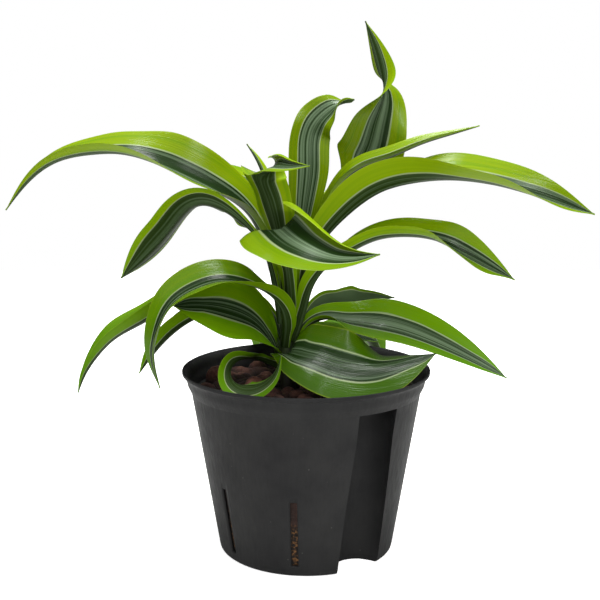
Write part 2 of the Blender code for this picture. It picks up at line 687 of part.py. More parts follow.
def leaf_surface(leaf, stations, across):
    """Middle surface of a leaf as rows of points, base to tip.

    The keel is a spline through the midrib points. The half width grows from the clasping base
    to the widest place and falls to the tip. Across the keel the blade's slope is the fold,
    rounded at the keel, and a curl adds to it towards one margin. Its sum along the width gives
    the cross section.
    """
    start, look = seat_point(leaf["seat"])
    points = np.array([start] + [row[0] for row in leaf["midrib"]], float)
    looks = unit(np.array([look] + [row[1] for row in leaf["midrib"]], float))
    hops = np.linalg.norm(np.diff(points, axis=0), axis=1)
    knots = np.concatenate([[0.0], np.cumsum(np.sqrt(hops))])
    fine = natural_spline(knots, np.hstack([points, looks]), np.linspace(0.0, knots[-1], 400))
    travel = np.concatenate([[0.0], np.cumsum(np.linalg.norm(np.diff(fine[:, :3], axis=0), axis=1))])
    share = np.linspace(0.0, 1.0, stations)
    heading = unit(np.gradient(fine[:, :3], travel, axis=0))
    table = np.hstack([fine, heading])
    read = np.stack([np.interp(share * travel[-1], travel, column) for column in table.T], 1)
    keel = read[:, :3]
    ahead = unit(read[:, 6:])
    up = unit(read[:, 3:6] - (read[:, 3:6] * ahead).sum(1)[:, None] * ahead)
    side = np.cross(ahead, up)

    widest = leaf["widest"]
    neck = leaf["neck"]
    fall = np.clip((share - widest) / (1.0 - widest), 0.0, 1.0) ** leaf.get("tip_power", 2.2)
    outline = (neck + (1.0 - neck) * ease(leaf.get("start", 0.04), widest, share)) * (1.0 - fall) ** 1.05
    half = np.maximum(leaf["width"] / 2 * outline, 0.5)
    clasp = leaf.get("clasp", CLASP_HALF_WIDTH)
    half = np.minimum(half, clasp + leaf["width"] / 2 * ease(0.04, 0.34, share))

    petiole_fold = leaf.get("petiole_fold", PETIOLE_FOLD)
    fold = leaf["fold"] + (petiole_fold - leaf["fold"]) * (1.0 - ease(0.12, 0.34, share))
    fold = CLASP_FOLD + (fold - CLASP_FOLD) * ease(0.03, 0.15, share)
    tip_fold = leaf.get("tip_fold", leaf["fold"])
    fold = fold + (tip_fold - fold) * ease(leaf.get("tip_from", 0.6), leaf.get("tip_to", 0.95), share)
    fold = np.radians(fold)[:, None]

    across = np.asarray(across)
    grid = np.linspace(-1.0, 1.0, 81)[None]
    slope = fold * grid / np.sqrt(grid ** 2 + KEEL_ROUNDING ** 2)
    for edge, degrees, begin, full, fade, end in leaf.get("curl", ()):
        reach = ease(begin, full, share) * (1.0 - ease(fade, end, share))
        slope = slope + edge * np.radians(degrees) * reach[:, None] * ease(0.3, 1.0, edge * grid)
    middle = grid.shape[1] // 2
    out = np.cumsum(np.cos(slope), 1) / middle
    lift = np.cumsum(np.sin(slope), 1) / middle
    out = half[:, None] * (out - out[:, middle:middle + 1])
    lift = half[:, None] * (lift - lift[:, middle:middle + 1])
    out = np.stack([np.interp(across, grid[0], row) for row in out])
    lift = np.stack([np.interp(across, grid[0], row) for row in lift])
    return keel[:, None] + side[:, None] * out[..., None] + up[:, None] * lift[..., None]


def blade_mesh(name, surface):
    """Closed thin solid: the surface moved half a thickness both ways, with a rim between."""
    rows, columns = surface.shape[:2]
    normals = unit(np.cross(np.gradient(surface, axis=0), np.gradient(surface, axis=1)))
    under = (surface + normals * BLADE_THICKNESS / 2).reshape(-1, 3)
    upper = (surface - normals * BLADE_THICKNESS / 2).reshape(-1, 3)
    below = rows * columns
    faces = []
    for r in range(rows - 1):
        for c in range(columns - 1):
            a = r * columns + c
            b = a + columns
            faces += [(a, b, b + 1), (a, b + 1, a + 1)]
            faces += [(a + below, b + 1 + below, b + below), (a + below, a + 1 + below, b + 1 + below)]
    rim = list(range(columns))
    rim += [r * columns + columns - 1 for r in range(1, rows)]
    rim += [(rows - 1) * columns + c for c in range(columns - 2, -1, -1)]
    rim += [r * columns for r in range(rows - 2, 0, -1)]
    for a, b in zip(rim, rim[1:] + rim[:1]):
        faces += [(a, b, b + below), (a, b + below, a + below)]
    return mesh_from(name, np.vstack([under, upper]).tolist(), faces)


def make_leaf(name, leaf, group):
    surface = leaf_surface(leaf, leaf["stations"], ACROSS)
    item = add_object(name, blade_mesh(name, surface), group)
    smooth_shading(item, 50.0)
    item.data.materials.append(material(name + "_lime_striped_blade", (0.16, 0.36, 0.03), 0.4))


def main():
    clear_scene()
    plant = collection("potted_lemon_surprise_dracaena")
    cutters = collection("cutters")
    make_pot(plant, cutters)
    clay = material("expanded_clay", (0.23, 0.09, 0.05), 0.95)
    make_filling(plant, cutters, clay)
    make_pebbles(plant, cutters, clay)
    make_stem(plant)
    for name, leaf in LEAVES.items():
        make_leaf(name, leaf, plant)


main()
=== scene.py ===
# %% [markdown]
# # A potted lemon surprise dracaena
# A young, bushy dracaena: lance-shaped leathery leaves, dark green in the middle and
# lemon-lime at the margins, on a short cane in fired clay pebbles in a thin black culture
# pot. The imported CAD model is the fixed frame: every piece takes the place of one CAD node
# and keeps its form, with a finer shape and finish. Sizes are millimetres, times one factor.

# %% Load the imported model
import math

import bpy
import numpy as np
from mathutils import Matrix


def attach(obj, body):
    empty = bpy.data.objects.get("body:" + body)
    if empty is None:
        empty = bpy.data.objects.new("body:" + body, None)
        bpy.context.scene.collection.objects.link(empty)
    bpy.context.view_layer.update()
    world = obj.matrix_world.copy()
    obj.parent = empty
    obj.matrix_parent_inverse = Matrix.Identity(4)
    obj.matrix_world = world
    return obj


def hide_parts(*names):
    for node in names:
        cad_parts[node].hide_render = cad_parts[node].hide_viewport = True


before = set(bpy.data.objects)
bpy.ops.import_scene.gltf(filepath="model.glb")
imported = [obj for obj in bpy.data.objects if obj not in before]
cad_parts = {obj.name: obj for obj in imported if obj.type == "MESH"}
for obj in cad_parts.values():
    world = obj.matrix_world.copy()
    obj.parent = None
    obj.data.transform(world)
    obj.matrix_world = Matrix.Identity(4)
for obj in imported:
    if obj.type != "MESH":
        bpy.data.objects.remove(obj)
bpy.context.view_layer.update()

MM = 0.001

# %% [markdown]
# ## Tools for finishes
# A finish is a tree of shader nodes. It could be drawn in the node editor, but as code every
# setting can be read. One helper turns a colour picked on screen into the linear numbers of
# Cycles. One fills the inputs of a node, and one adds a node and gives one of its outputs.

# %% Colour and node helpers
COLOURS = {"out": 2, "data_type": "RGBA"}   # for a Mix node that mixes colours


def colour(code):
    """Linear RGBA of an sRGB hex code: c/12.92 below 0.04045, else ((c + 0.055)/1.055)^2.4."""
    part = np.array([int(code[i:i + 2], 16) for i in (1, 3, 5)]) / 255.0
    linear = np.where(part <= 0.04045, part / 12.92, ((part + 0.055) / 1.055) ** 2.4)
    return (*linear.tolist(), 1.0)


def fill(node, inputs):
    """Fills a node's inputs: a socket is linked, a hex code or a number is set."""
    for name, value in inputs.items():
        if isinstance(value, bpy.types.NodeSocket):
            node.id_data.links.new(value, node.inputs[name])
        else:
            node.inputs[name].default_value = colour(value) if isinstance(value, str) else value


def add(tree, kind, inputs=None, out=0, stops=(), **settings):
    """Adds a node with its settings, inputs and colour stops, and gives one of its outputs.

    A stop is a place from 0 to 1 with a hex code, or with a grey from 0 to 1.
    """
    node = tree.nodes.new("ShaderNode" + kind)
    for name, value in settings.items():
        setattr(node, name, value)
    fill(node, inputs or {})
    for index, (place, shade) in enumerate(stops):
        elements = node.color_ramp.elements
        element = elements[index] if index < len(elements) else elements.new(place)
        element.position = place
        element.color = colour(shade) if isinstance(shade, str) else (shade, shade, shade, 1.0)
    return node.outputs[out] if node.outputs else None


def new_material(name):
    """An empty node material, its tree and its Principled shader, already linked."""
    made = bpy.data.materials.new(name)
    made.use_nodes = True
    made.node_tree.nodes.clear()
    surface = add(made.node_tree, "BsdfPrincipled")
    add(made.node_tree, "OutputMaterial", {"Surface": surface})
    print("material:", name)
    return made, made.node_tree, surface.node


# %% [markdown]
# ## Tools for shapes
# The pot, the cane and each blade are grids of points: rows, each a ring of columns. They
# could be bent Blender primitives, but worked out as whole arrays they stay readable formulas.
# The helpers join the points by faces and make the mesh that stands for a CAD node.

# %% Mesh helpers
def grid_faces(rows, ring):
    """Quads between neighbouring rows of a point grid whose rows are closed rings."""
    low = np.arange(rows - 1)[:, None] * ring
    left = np.arange(ring)[None]
    right = (left + 1) % ring
    quads = np.stack([low + left, low + right, low + ring + right, low + ring + left], -1)
    return quads.reshape(-1, 4).tolist()


def fan_faces(middle, first, ring, up):
    """Triangles from a middle point to a ring of points that starts at the number first."""
    here = np.arange(ring)
    after = (here + 1) % ring
    pair = (here, after) if up else (after, here)
    return np.stack([np.full(ring, middle), first + pair[0], first + pair[1]], 1).tolist()


def end_faces(rows, ring):
    """The two faces that close the first and the last ring of a point grid."""
    last = (rows - 1) * ring
    return [list(range(ring))[::-1], list(range(last, last + ring))]


def new_object(name, data):
    """An object linked into the scene."""
    item = bpy.data.objects.new(name, data)
    bpy.context.scene.collection.objects.link(item)
    return item


def make_piece(name, points, faces, materials, node, uv=None, which=None, sharp=60.0):
    """Mesh piece from millimetre points, set to ride with the plant in place of a CAD node."""
    mesh = bpy.data.meshes.new(name)
    mesh.from_pydata((np.asarray(points) * MM).tolist(), [], faces)
    if uv is not None:
        layer = mesh.uv_layers.new(name="blade")
        corner = np.empty(len(mesh.loops), dtype=np.int32)
        mesh.loops.foreach_get("vertex_index", corner)
        layer.data.foreach_set("uv", uv[corner].astype(np.float32).ravel())
    for material in materials:
        mesh.materials.append(material)
    if which is not None:
        mesh.polygons.foreach_set("material_index", np.asarray(which, dtype=np.int32))
    mesh.shade_smooth()
    mesh.set_sharp_from_angle(angle=math.radians(sharp))
    mesh.validate()
    piece = new_object(name, mesh)
    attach(piece, "root")
    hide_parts(node)
    print(f"{name}: {len(mesh.vertices)} points, {len(mesh.polygons)} faces")
    return piece


# %% [markdown]
# ## The studio
# The plant was photographed as a catalogue cut-out: a white surround, soft light from above,
# and no shadow. The camera stands level with the upper leaves and looks down a little, about
# 45 cm away with a short telephoto lens. One sky picture could light it all, but lamps can
# each be set: a wide softbox overhead lets the lower leaves fall off into shade, a small one
# at the right front makes the highlights on the arches, and a very wide sun lamp with the dim
# surround stands for the room. The floor is white paper with a glow that only the camera sees
# and that bleaches its shadow out.

# %% Camera
CAMERA_PLACE = (-2.7, -453.0, 188.0)
CAMERA_DOWN = 9.5              # degrees below the horizon
LENS = 62.5

eye = bpy.data.cameras.new("studio_camera")
eye.lens = LENS
eye.sensor_width = 36.0
camera = new_object("studio_camera", eye)
camera.location = [value * MM for value in CAMERA_PLACE]
camera.rotation_euler = (math.radians(90.0 - CAMERA_DOWN), 0.0, 0.0)
bpy.context.scene.camera = camera
bpy.context.scene.view_settings.view_transform = "Standard"
print("camera at", tuple(round(value, 3) for value in camera.location))

# %% Surround
WHITE = (1.0, 1.0, 1.0, 1.0)
SURROUND_LOW = 0.14            # strength of the light from the horizon and below
SURROUND_HIGH = 0.3            # strength of the light from straight above

world = bpy.data.worlds.new("white_studio")
bpy.context.scene.world = world
world.use_nodes = True
sky_tree = world.node_tree
sky_tree.nodes.clear()
seen = add(sky_tree, "LightPath", out="Is Camera Ray")
way = add(sky_tree, "TexCoord", out="Generated")
upward = add(sky_tree, "SeparateXYZ", {"Vector": way}, out="Z")
overhead = add(sky_tree, "MapRange", {"Value": upward, "From Min": 0.1, "From Max": 0.9,
                                      "To Min": SURROUND_LOW, "To Max": SURROUND_HIGH})
strength = add(sky_tree, "Mix", {0: seen, 2: overhead, 3: 1.0})
surround = add(sky_tree, "Background", {"Color": WHITE, "Strength": strength})
add(sky_tree, "OutputWorld", {"Surface": surround})
print("surround:", world.name)

# %% Lights
LIGHTS = {
    # name: place in mm, size in mm, power in watts
    "softbox_above": ((0.0, 0.0, 720.0), (420.0, 200.0), 6.8),
    "softbox_right": ((260.0, -350.0, 400.0), (130.0, 130.0), 0.9),
}
AIM = np.array((0.0, 0.0, 120.0))   # the middle of the plant
SKYLIGHT_POWER = 2.2
SKYLIGHT_WIDTH = 100.0         # degrees of sky that it fills
SKYLIGHT_TURN = (40.0, -6.0, 0.0)

for name, (place, size, power) in LIGHTS.items():
    lamp = bpy.data.lights.new(name, "AREA")
    lamp.shape = "RECTANGLE"
    lamp.size = size[0] * MM
    lamp.size_y = size[1] * MM
    lamp.energy = power
    item = new_object(name, lamp)
    item.location = [value * MM for value in place]
    away = np.array(place) - AIM
    turn = math.atan2(away[1], away[0]) + math.pi / 2
    item.rotation_euler = (math.atan2(math.hypot(away[0], away[1]), away[2]), 0.0, turn)

daylight = bpy.data.lights.new("large_soft_skylight", "SUN")
daylight.energy = SKYLIGHT_POWER
daylight.angle = math.radians(SKYLIGHT_WIDTH)
sky = new_object(daylight.name, daylight)
sky.rotation_euler = [math.radians(angle) for angle in SKYLIGHT_TURN]
print("lights:", list(LIGHTS), sky.name)

# %% Floor
FLOOR_REACH = 900.0
FLOOR_GLOW = 0.75

far = FLOOR_REACH * MM
corners = [(-far, -far, 0.0), (far, -far, 0.0), (far, far, 0.0), (-far, far, 0.0)]
floor_mesh = bpy.data.meshes.new("floor")
floor_mesh.from_pydata(corners, [], [(0, 1, 2, 3)])
floor = new_object("floor", floor_mesh)
paper, tree, shader = new_material("matt_white_paper")
by_camera = add(tree, "LightPath", out="Is Camera Ray")
glow = add(tree, "Math", {0: by_camera, 1: FLOOR_GLOW}, operation="MULTIPLY")
fill(shader, {"Base Color": "#F2F2F0", "Roughness": 0.9, "Emission Color": WHITE,
              "Emission Strength": glow})
floor_mesh.materials.append(paper)
print("floor:", 2 * FLOOR_REACH, "mm square")

# %% [markdown]
# ## The pot
# A hydroculture pot is moulded from black polypropylene: thin, light, and matt with a slight
# sheen. Its wall has tall slots for water and roots, and a half-round channel down the
# outside, where a water gauge stands. It could be a revolved profile with cuts, as in the
# CAD. Here at each height one ring of points runs round the wall and then back along the
# channel, so that the channel and the slots have clean edges with no Boolean. Solidify then
# gives the wall its thickness.

# %% Pot sizes
POT_HEIGHT = 82.0
RIM_RADIUS = 55.0
BASE_RADIUS = 38.9
BASE_EDGE = 2.2                # how far inside the base radius the flat base ends
BASE_BEND = (2.4, 1.6)         # width and height of the rounded edge round it
TAPER_TOP = 72.0
TAPER_TOP_RADIUS = 50.9
WALL = 1.2
SLOT_WIDTH = 3.1
SLOT_LOW = 5.0
SLOT_HIGH = 35.0
SLOT_PLACES = [47.0 + 45.0 * index for index in range(7)]   # degrees on from the channel
CHANNEL_ANGLE = math.radians(-54.0)
CHANNEL_RADIUS = 11.0
CHANNEL_FOOT_DISTANCE = 37.7   # from the pot's axis to the channel's axis at the base
CHANNEL_LEAN = 0.083           # how far the channel's axis moves out for each unit up
CHANNEL_TOP = 72.3
LEAST_MEETING = 0.2            # radians, on rings that don't reach the channel
WALL_COLUMNS = 25              # columns between two slots, with both edges
SLOT_COLUMNS = 3
CHANNEL_COLUMNS = 41


def wall_radius(height):
    """Outer radius of the plain tapered wall: it grows in a straight line with height."""
    return BASE_RADIUS + (TAPER_TOP_RADIUS - BASE_RADIUS) * height / TAPER_TOP


def channel_distance(height):
    """From the pot's axis to the channel's: the foot distance plus lean times height."""
    return CHANNEL_FOOT_DISTANCE + CHANNEL_LEAN * height


# %% Rings round the pot
def wall_columns(radii, meet):
    """Angles of the wall's columns, ring by ring, and which of them lie inside a slot.

    Each side of a slot has a column: its angle from the middle is arcsin(half width / radius).
    """
    half_slot = np.arcsin(SLOT_WIDTH / 2 / radii)
    stops = [meet]
    for place in SLOT_PLACES:
        stops += [math.radians(place) - half_slot, math.radians(place) + half_slot]
    stops = np.concatenate(stops + [math.tau - meet], 1)
    columns = []
    in_slot = []
    for index in range(stops.shape[1] - 1):
        slot = index % 2 == 1
        share = np.linspace(0.0, 1.0, SLOT_COLUMNS if slot else WALL_COLUMNS)[:-1]
        columns.append(stops[:, index:index + 1] * (1 - share) + stops[:, index + 1:index + 2] * share)
        in_slot += [slot] * len(share)
    return np.concatenate(columns, 1), in_slot


def pot_rings(heights, radii, notched, spare=0.0):
    """Rings of points round the pot, one for each height and radius.

    Each runs along the wall from one edge of the channel to the other, then back along the
    channel's circle where notched is true, and along the wall where it isn't or where the
    ring is too small to reach the channel. Both circles cross where cos(a) =
    (R^2 + d^2 - r^2) / (2 R d). Returns the points and which columns lie inside a slot.
    """
    heights = np.asarray(heights, float)[:, None]
    radii = np.asarray(radii, float)[:, None]
    away = channel_distance(np.clip(heights, 0.0, CHANNEL_TOP))
    bore = CHANNEL_RADIUS + spare
    meet = np.arccos(np.clip((radii ** 2 + away ** 2 - bore ** 2) / (2 * radii * away), -1.0, 1.0))
    meet = np.maximum(meet, LEAST_MEETING)
    around, in_slot = wall_columns(radii, meet)
    share = np.linspace(0.0, 1.0, CHANNEL_COLUMNS)[None, :-1]
    edge = np.arctan2(radii * np.sin(meet), radii * np.cos(meet) - away)
    turn = -edge + (2 * edge - math.tau) * share
    plain = -meet + 2 * meet * share
    notched = np.asarray(notched, bool)[:, None] & (radii > away - bore)
    back_x = np.where(notched, away + bore * np.cos(turn), radii * np.cos(plain))
    back_y = np.where(notched, bore * np.sin(turn), radii * np.sin(plain))
    x = np.concatenate([radii * np.cos(around), back_x], 1)
    y = np.concatenate([radii * np.sin(around), back_y], 1)
    cosine, sine = math.cos(CHANNEL_ANGLE), math.sin(CHANNEL_ANGLE)
    z = np.broadcast_to(heights, x.shape)
    points = np.stack([x * cosine - y * sine, x * sine + y * cosine, z], -1)
    return points, np.array(in_slot + [False] * share.size)


print("wall radius in mm:", wall_radius(0.0), "to", wall_radius(TAPER_TOP))

# %% [markdown]
# Moulded polypropylene is nearly black with a faint grey bloom in clouds of 18 mm, and the
# light slides off it in a wide soft sheen, so the roughness is about a half. One flat colour
# would look new and unreal. Flow marks and scuffs, 9 mm long up and down the wall, break the
# sheen, and grains of dust, half a millimetre wide, sit on it about 6 mm apart. The grain is
# drawn at 0.6 mm, coarser than real, so that it shows.

# %% Pot finish
def moulded_polypropylene():
    """Clouded near-black with specks of dust, and drawn-out scuffs in the roughness."""
    made, tree, shader = new_material("moulded_black_polypropylene")
    place = add(tree, "TexCoord", out="Object")
    clouds = add(tree, "TexNoise", {"Vector": place, "Scale": 55.0, "Detail": 4.0})
    shade = add(tree, "ValToRGB", {"Fac": clouds}, stops=((0.3, "#181819"), (0.7, "#222222")))
    dust = add(tree, "TexVoronoi", {"Vector": place, "Scale": 170.0}, out="Distance")
    speck = add(tree, "MapRange", {"Value": dust, "From Min": 0.035, "From Max": 0.06,
                                   "To Min": 0.5, "To Max": 0.0})
    dusty = add(tree, "Mix", {0: speck, 6: shade, 7: "#4A4845"}, **COLOURS)
    tall = add(tree, "Mapping", {"Vector": place, "Scale": (1.0, 1.0, 0.12)})
    scuffs = add(tree, "TexNoise", {"Vector": tall, "Scale": 900.0, "Detail": 3.0})
    rough = add(tree, "MapRange", {"Value": scuffs, "From Min": 0.3, "From Max": 0.7,
                                   "To Min": 0.5, "To Max": 0.64})
    grain = add(tree, "TexNoise", {"Vector": place, "Scale": 1600.0, "Detail": 2.0})
    relief = add(tree, "Bump", {"Height": grain, "Strength": 0.12, "Distance": 0.0004})
    fill(shader, {"Base Color": dusty, "Roughness": rough, "IOR": 1.49,
                  "Specular IOR Level": 0.14, "Normal": relief})
    return made


polypropylene = moulded_polypropylene()

# %% Pot shell
WALL_FOOT = 2.4                # height of the wall's lowest row of points
ROW_STEP = 3.0                 # from a slot's end to the next row
# Heights and radii of the band above the ledge, which steps outward up to the lip.
BAND = ((72.7, 51.2), (73.9, 51.8), (75.1, 52.35), (75.6, 52.6), (77.3, 52.95), (78.6, 53.2),
        (79.1, 53.45), (79.6, 53.8))
# The rounded lip, as distances down and in from the rim's top edge.
LIP = ((2.0, 0.8), (1.7, 0.3), (1.4, 0.05), (1.0, 0.0), (0.5, 0.0), (0.2, 0.1), (0.0, 0.4))


def pot_profile():
    """Heights, radii and channel flags from the middle of the base up to the rim's top.

    The base edge is a quarter turn of an ellipse, the wall is straight up to the ledge over
    the channel, and the band above it steps outward to the lip.
    """
    flat = BASE_RADIUS - BASE_EDGE
    bend = np.linspace(0.0, math.pi / 2, 7)
    rows = [(0.0, flat * share, True) for share in (0.2, 0.45, 0.7)]
    rows += [(BASE_BEND[1] * (1 - math.cos(a)), flat + BASE_BEND[0] * math.sin(a), True) for a in bend]
    wall = np.concatenate([np.linspace(WALL_FOOT, SLOT_LOW, 4),
                           np.linspace(SLOT_LOW + ROW_STEP, SLOT_HIGH, 11),
                           np.linspace(SLOT_HIGH + ROW_STEP, TAPER_TOP, 12)])
    rows += [(height, wall_radius(height), True) for height in wall]
    ledge = TAPER_TOP_RADIUS + 0.1
    rows += [(CHANNEL_TOP, ledge, True), (CHANNEL_TOP, ledge, False)]
    rows += [(height, radius, False) for height, radius in BAND]
    rows += [(POT_HEIGHT - down, RIM_RADIUS - back, False) for down, back in LIP]
    return np.array(rows)


profile = pot_profile()
rings, in_slot = pot_rings(profile[:, 0], profile[:, 1], profile[:, 2] > 0.5)
low = profile[:-1, 0][:, None]
cut = (low > SLOT_LOW - 0.01) & (low < SLOT_HIGH - 0.01) & in_slot[None]
faces = np.array(grid_faces(*rings.shape[:2]))[~cut.ravel()].tolist()
points = np.vstack([rings.reshape(-1, 3), [[0.0, 0.0, 0.0]]])
faces += fan_faces(len(points) - 1, 0, rings.shape[1], up=False)
pot = make_piece("culture_pot", points, faces, [polypropylene], "pot", sharp=28.0)
thick = pot.modifiers.new("Wall", "SOLIDIFY")
thick.thickness = WALL * MM
thick.offset = -1.0

# %% [markdown]
# ## The fired clay
# Hydroculture plants stand in expanded clay: rough, dull, red-brown balls with dark gaps. A
# photo of clay could be wrapped on, but noise fits any ball. It has brown patches of 13 mm
# and a strong bump for pores of 2 mm, and it darkens downwards between the balls as painted
# shade. Near the pot's floor, where the slots show it, broken ochre grit of 1 mm has settled.

# %% Clay finish
def fired_clay():
    """Patchy brown with painted shade lower down, fine ochre grit near the pot's floor, and pores."""
    made, tree, shader = new_material("expanded_fired_clay")
    place = add(tree, "TexCoord", out="Object")
    height = add(tree, "SeparateXYZ", {"Vector": place}, out="Z")
    patches = add(tree, "TexNoise", {"Vector": place, "Scale": 75.0, "Detail": 6.0})
    shade = add(tree, "ValToRGB", {"Fac": patches},
                stops=((0.36, "#26140E"), (0.5, "#5C3428"), (0.66, "#986656")))
    # Painted shade: from 78.5 mm down to 73.5 mm the clay turns nearly black, for the shade between and
    # under the balls.
    lit = add(tree, "MapRange", {"Value": height, "From Min": 0.0735, "From Max": 0.0785,
                                 "To Min": 0.12, "To Max": 1.0})
    dark = add(tree, "Mix", {0: lit, 6: "#120A06", 7: shade}, **COLOURS)
    crumbs = add(tree, "TexNoise", {"Vector": place, "Scale": 900.0, "Detail": 3.0})
    grit = add(tree, "ValToRGB", {"Fac": crumbs},
               stops=((0.42, "#0A0704"), (0.54, "#33210F"), (0.7, "#74502C")))
    low = add(tree, "MapRange", {"Value": height, "From Min": 0.021, "From Max": 0.025,
                                 "To Min": 1.0, "To Max": 0.0})
    settled = add(tree, "Mix", {0: low, 6: dark, 7: grit}, **COLOURS)
    pores = add(tree, "TexNoise", {"Vector": place, "Scale": 420.0, "Detail": 5.0})
    relief = add(tree, "Bump", {"Height": pores, "Strength": 1.0, "Distance": 0.0015})
    fill(shader, {"Base Color": settled, "Roughness": 0.95, "Normal": relief})
    return made


clay = fired_clay()

# %% [markdown]
# ## The clay filling and its pebbles
# The pebbles that show are lumpy balls of 7 to 13 mm. They could be loose balls dropped by a
# physics run. A seeded spiral of balls, half sunk in a bed that fills the pot, is lighter and
# gives the same heap every time. The cane and the gauge channel stay clear of it. Three
# pebbles lie on top where the photo shows them.

# %% Clay bodies under the pebbles
FILLING_LOW = 1.8
FILLING_TOP = 69.4
LAYER_TOP = 71.5
GAP = 0.3
BED_ROWS = 24
BOTTOM_RINGS = (30.0, 33.0, 36.0)
LAYER_BOTTOM_RINGS = (39.0, 42.0, 45.0)
TOP_RINGS = (48.0, 46.5, 45.0, 43.0, 41.0)


def clay_body(low, high, bottom):
    """Closed clay body: rings a gap inside the wall and the channel, closed below and above."""
    spare = WALL + GAP
    heights = np.concatenate([np.full(len(bottom), low), np.linspace(low, high, BED_ROWS),
                              np.full(len(TOP_RINGS), high)])
    radii = wall_radius(np.clip(heights, 0.0, TAPER_TOP)) - spare
    radii[:len(bottom)] = bottom
    radii[-len(TOP_RINGS):] = TOP_RINGS
    rings, _ = pot_rings(heights, radii, np.full(len(heights), True), spare)
    count, ring = rings.shape[:2]
    points = np.vstack([rings.reshape(-1, 3), [[0.0, 0.0, low], [0.0, 0.0, high]]])
    faces = grid_faces(count, ring) + fan_faces(count * ring, 0, ring, up=False)
    return points, faces + fan_faces(count * ring + 1, (count - 1) * ring, ring, up=True)


points, faces = clay_body(FILLING_LOW, FILLING_TOP, BOTTOM_RINGS)
make_piece("clay_filling", points, faces, [clay], "clay_pebbles_below")

# %% Places of the pebbles
PEBBLE_COUNT = 170
PEBBLE_SEED = 11
PEBBLE_SMALL = 3.6
PEBBLE_LARGE = 6.4
PEBBLE_FIELD = 45.4            # radius of the field of their centres
PEBBLE_LIMIT = 49.0            # radius that the pebbles hardly reach past
PEBBLE_TOP = 4.2               # about how far they rise above the bed
PEBBLE_RISE = (-1.2, 0.8)      # and what chance adds to that
LUMP_REACH = 1.12              # how far a lumpy pebble reaches, in radii
GOLDEN_TURN = 137.5            # degrees from one pebble to the next
TURN_CHANCE = 0.2              # radians
TOP_PEBBLES = np.array([(-40.5, 12.0, 73.8, 6.3), (-22.5, -6.0, 74.2, 5.4), (-33.0, -22.0, 73.6, 5.6)])
STEM_X = -8.0
STEM_ROOM = 4.4


def pebble_places(chance):
    """Centres and radii of the balls, on a turning spiral: reach = field * sqrt(share).

    A ball is left out where it would reach into the stem's hole or the gauge channel.
    """
    index = np.arange(PEBBLE_COUNT)
    reach = PEBBLE_FIELD * np.sqrt((index + 0.5) / PEBBLE_COUNT)
    angle = index * math.radians(GOLDEN_TURN) + chance.uniform(-TURN_CHANCE, TURN_CHANCE, PEBBLE_COUNT)
    radius = chance.uniform(PEBBLE_SMALL, PEBBLE_LARGE, PEBBLE_COUNT)
    reach = np.minimum(reach, PEBBLE_LIMIT - radius * LUMP_REACH)
    height = LAYER_TOP + PEBBLE_TOP - radius * 0.9 + chance.uniform(*PEBBLE_RISE, PEBBLE_COUNT)
    middle = np.stack([reach * np.cos(angle), reach * np.sin(angle), height], 1)
    middle = np.vstack([middle, TOP_PEBBLES[:, :3]])
    radius = np.concatenate([radius, TOP_PEBBLES[:, 3]])
    channel = channel_distance(LAYER_TOP) * np.array((math.cos(CHANNEL_ANGLE), math.sin(CHANNEL_ANGLE)))
    clear = np.hypot(middle[:, 0] - STEM_X, middle[:, 1]) > radius + STEM_ROOM
    clear &= np.linalg.norm(middle[:, :2] - channel, axis=1) > CHANNEL_RADIUS + WALL + GAP + radius * 0.9
    return middle[clear], radius[clear]


# %% Pebble heap
BALL_ROWS = 7
BALL_COLUMNS = 12
BALL_SQUASH = np.array((1.0, 0.94, 0.9))
LUMPS = ((0, 3.1, 0.06), (1, 3.7, 0.06), (2, 4.3, 0.05))   # axis, radians and height per radius


def pebble_heap(start):
    """Lumpy balls: a sphere's points times 1 + a sum of three soft waves."""
    chance = np.random.default_rng(PEBBLE_SEED)
    middle, radius = pebble_places(chance)
    waves = chance.uniform(0.0, math.tau, (len(radius), len(LUMPS)))
    up = np.linspace(-math.pi / 2, math.pi / 2, BALL_ROWS + 2)[1:-1][:, None]
    round_ = np.linspace(0.0, math.tau, BALL_COLUMNS + 1)[None, :-1]
    way = np.stack([np.cos(up) * np.cos(round_), np.cos(up) * np.sin(round_),
                    np.sin(up) + 0 * round_], -1).reshape(-1, 3)
    way = np.vstack([way, [[0.0, 0.0, -1.0], [0.0, 0.0, 1.0]]])
    lump = sum(height * np.sin(turns * way[None, :, axis] + waves[:, axis:axis + 1])
               for axis, turns, height in LUMPS)
    points = middle[:, None] + radius[:, None, None] * way[None] * BALL_SQUASH * (1 + lump)[..., None]
    ball = grid_faces(BALL_ROWS, BALL_COLUMNS) + fan_faces(len(way) - 2, 0, BALL_COLUMNS, up=False)
    ball += fan_faces(len(way) - 1, (BALL_ROWS - 1) * BALL_COLUMNS, BALL_COLUMNS, up=True)
    faces = [[start + number * len(way) + corner for corner in face]
             for number in range(len(radius)) for face in ball]
    print("pebbles:", len(radius))
    return points.reshape(-1, 3), faces


bed_points, bed_faces = clay_body(FILLING_TOP + GAP, LAYER_TOP, LAYER_BOTTOM_RINGS)
heap_points, heap_faces = pebble_heap(len(bed_points))
make_piece("clay_pebble_heap", np.vstack([bed_points, heap_points]), bed_faces + heap_faces,
           [clay], "clay_pebbles")
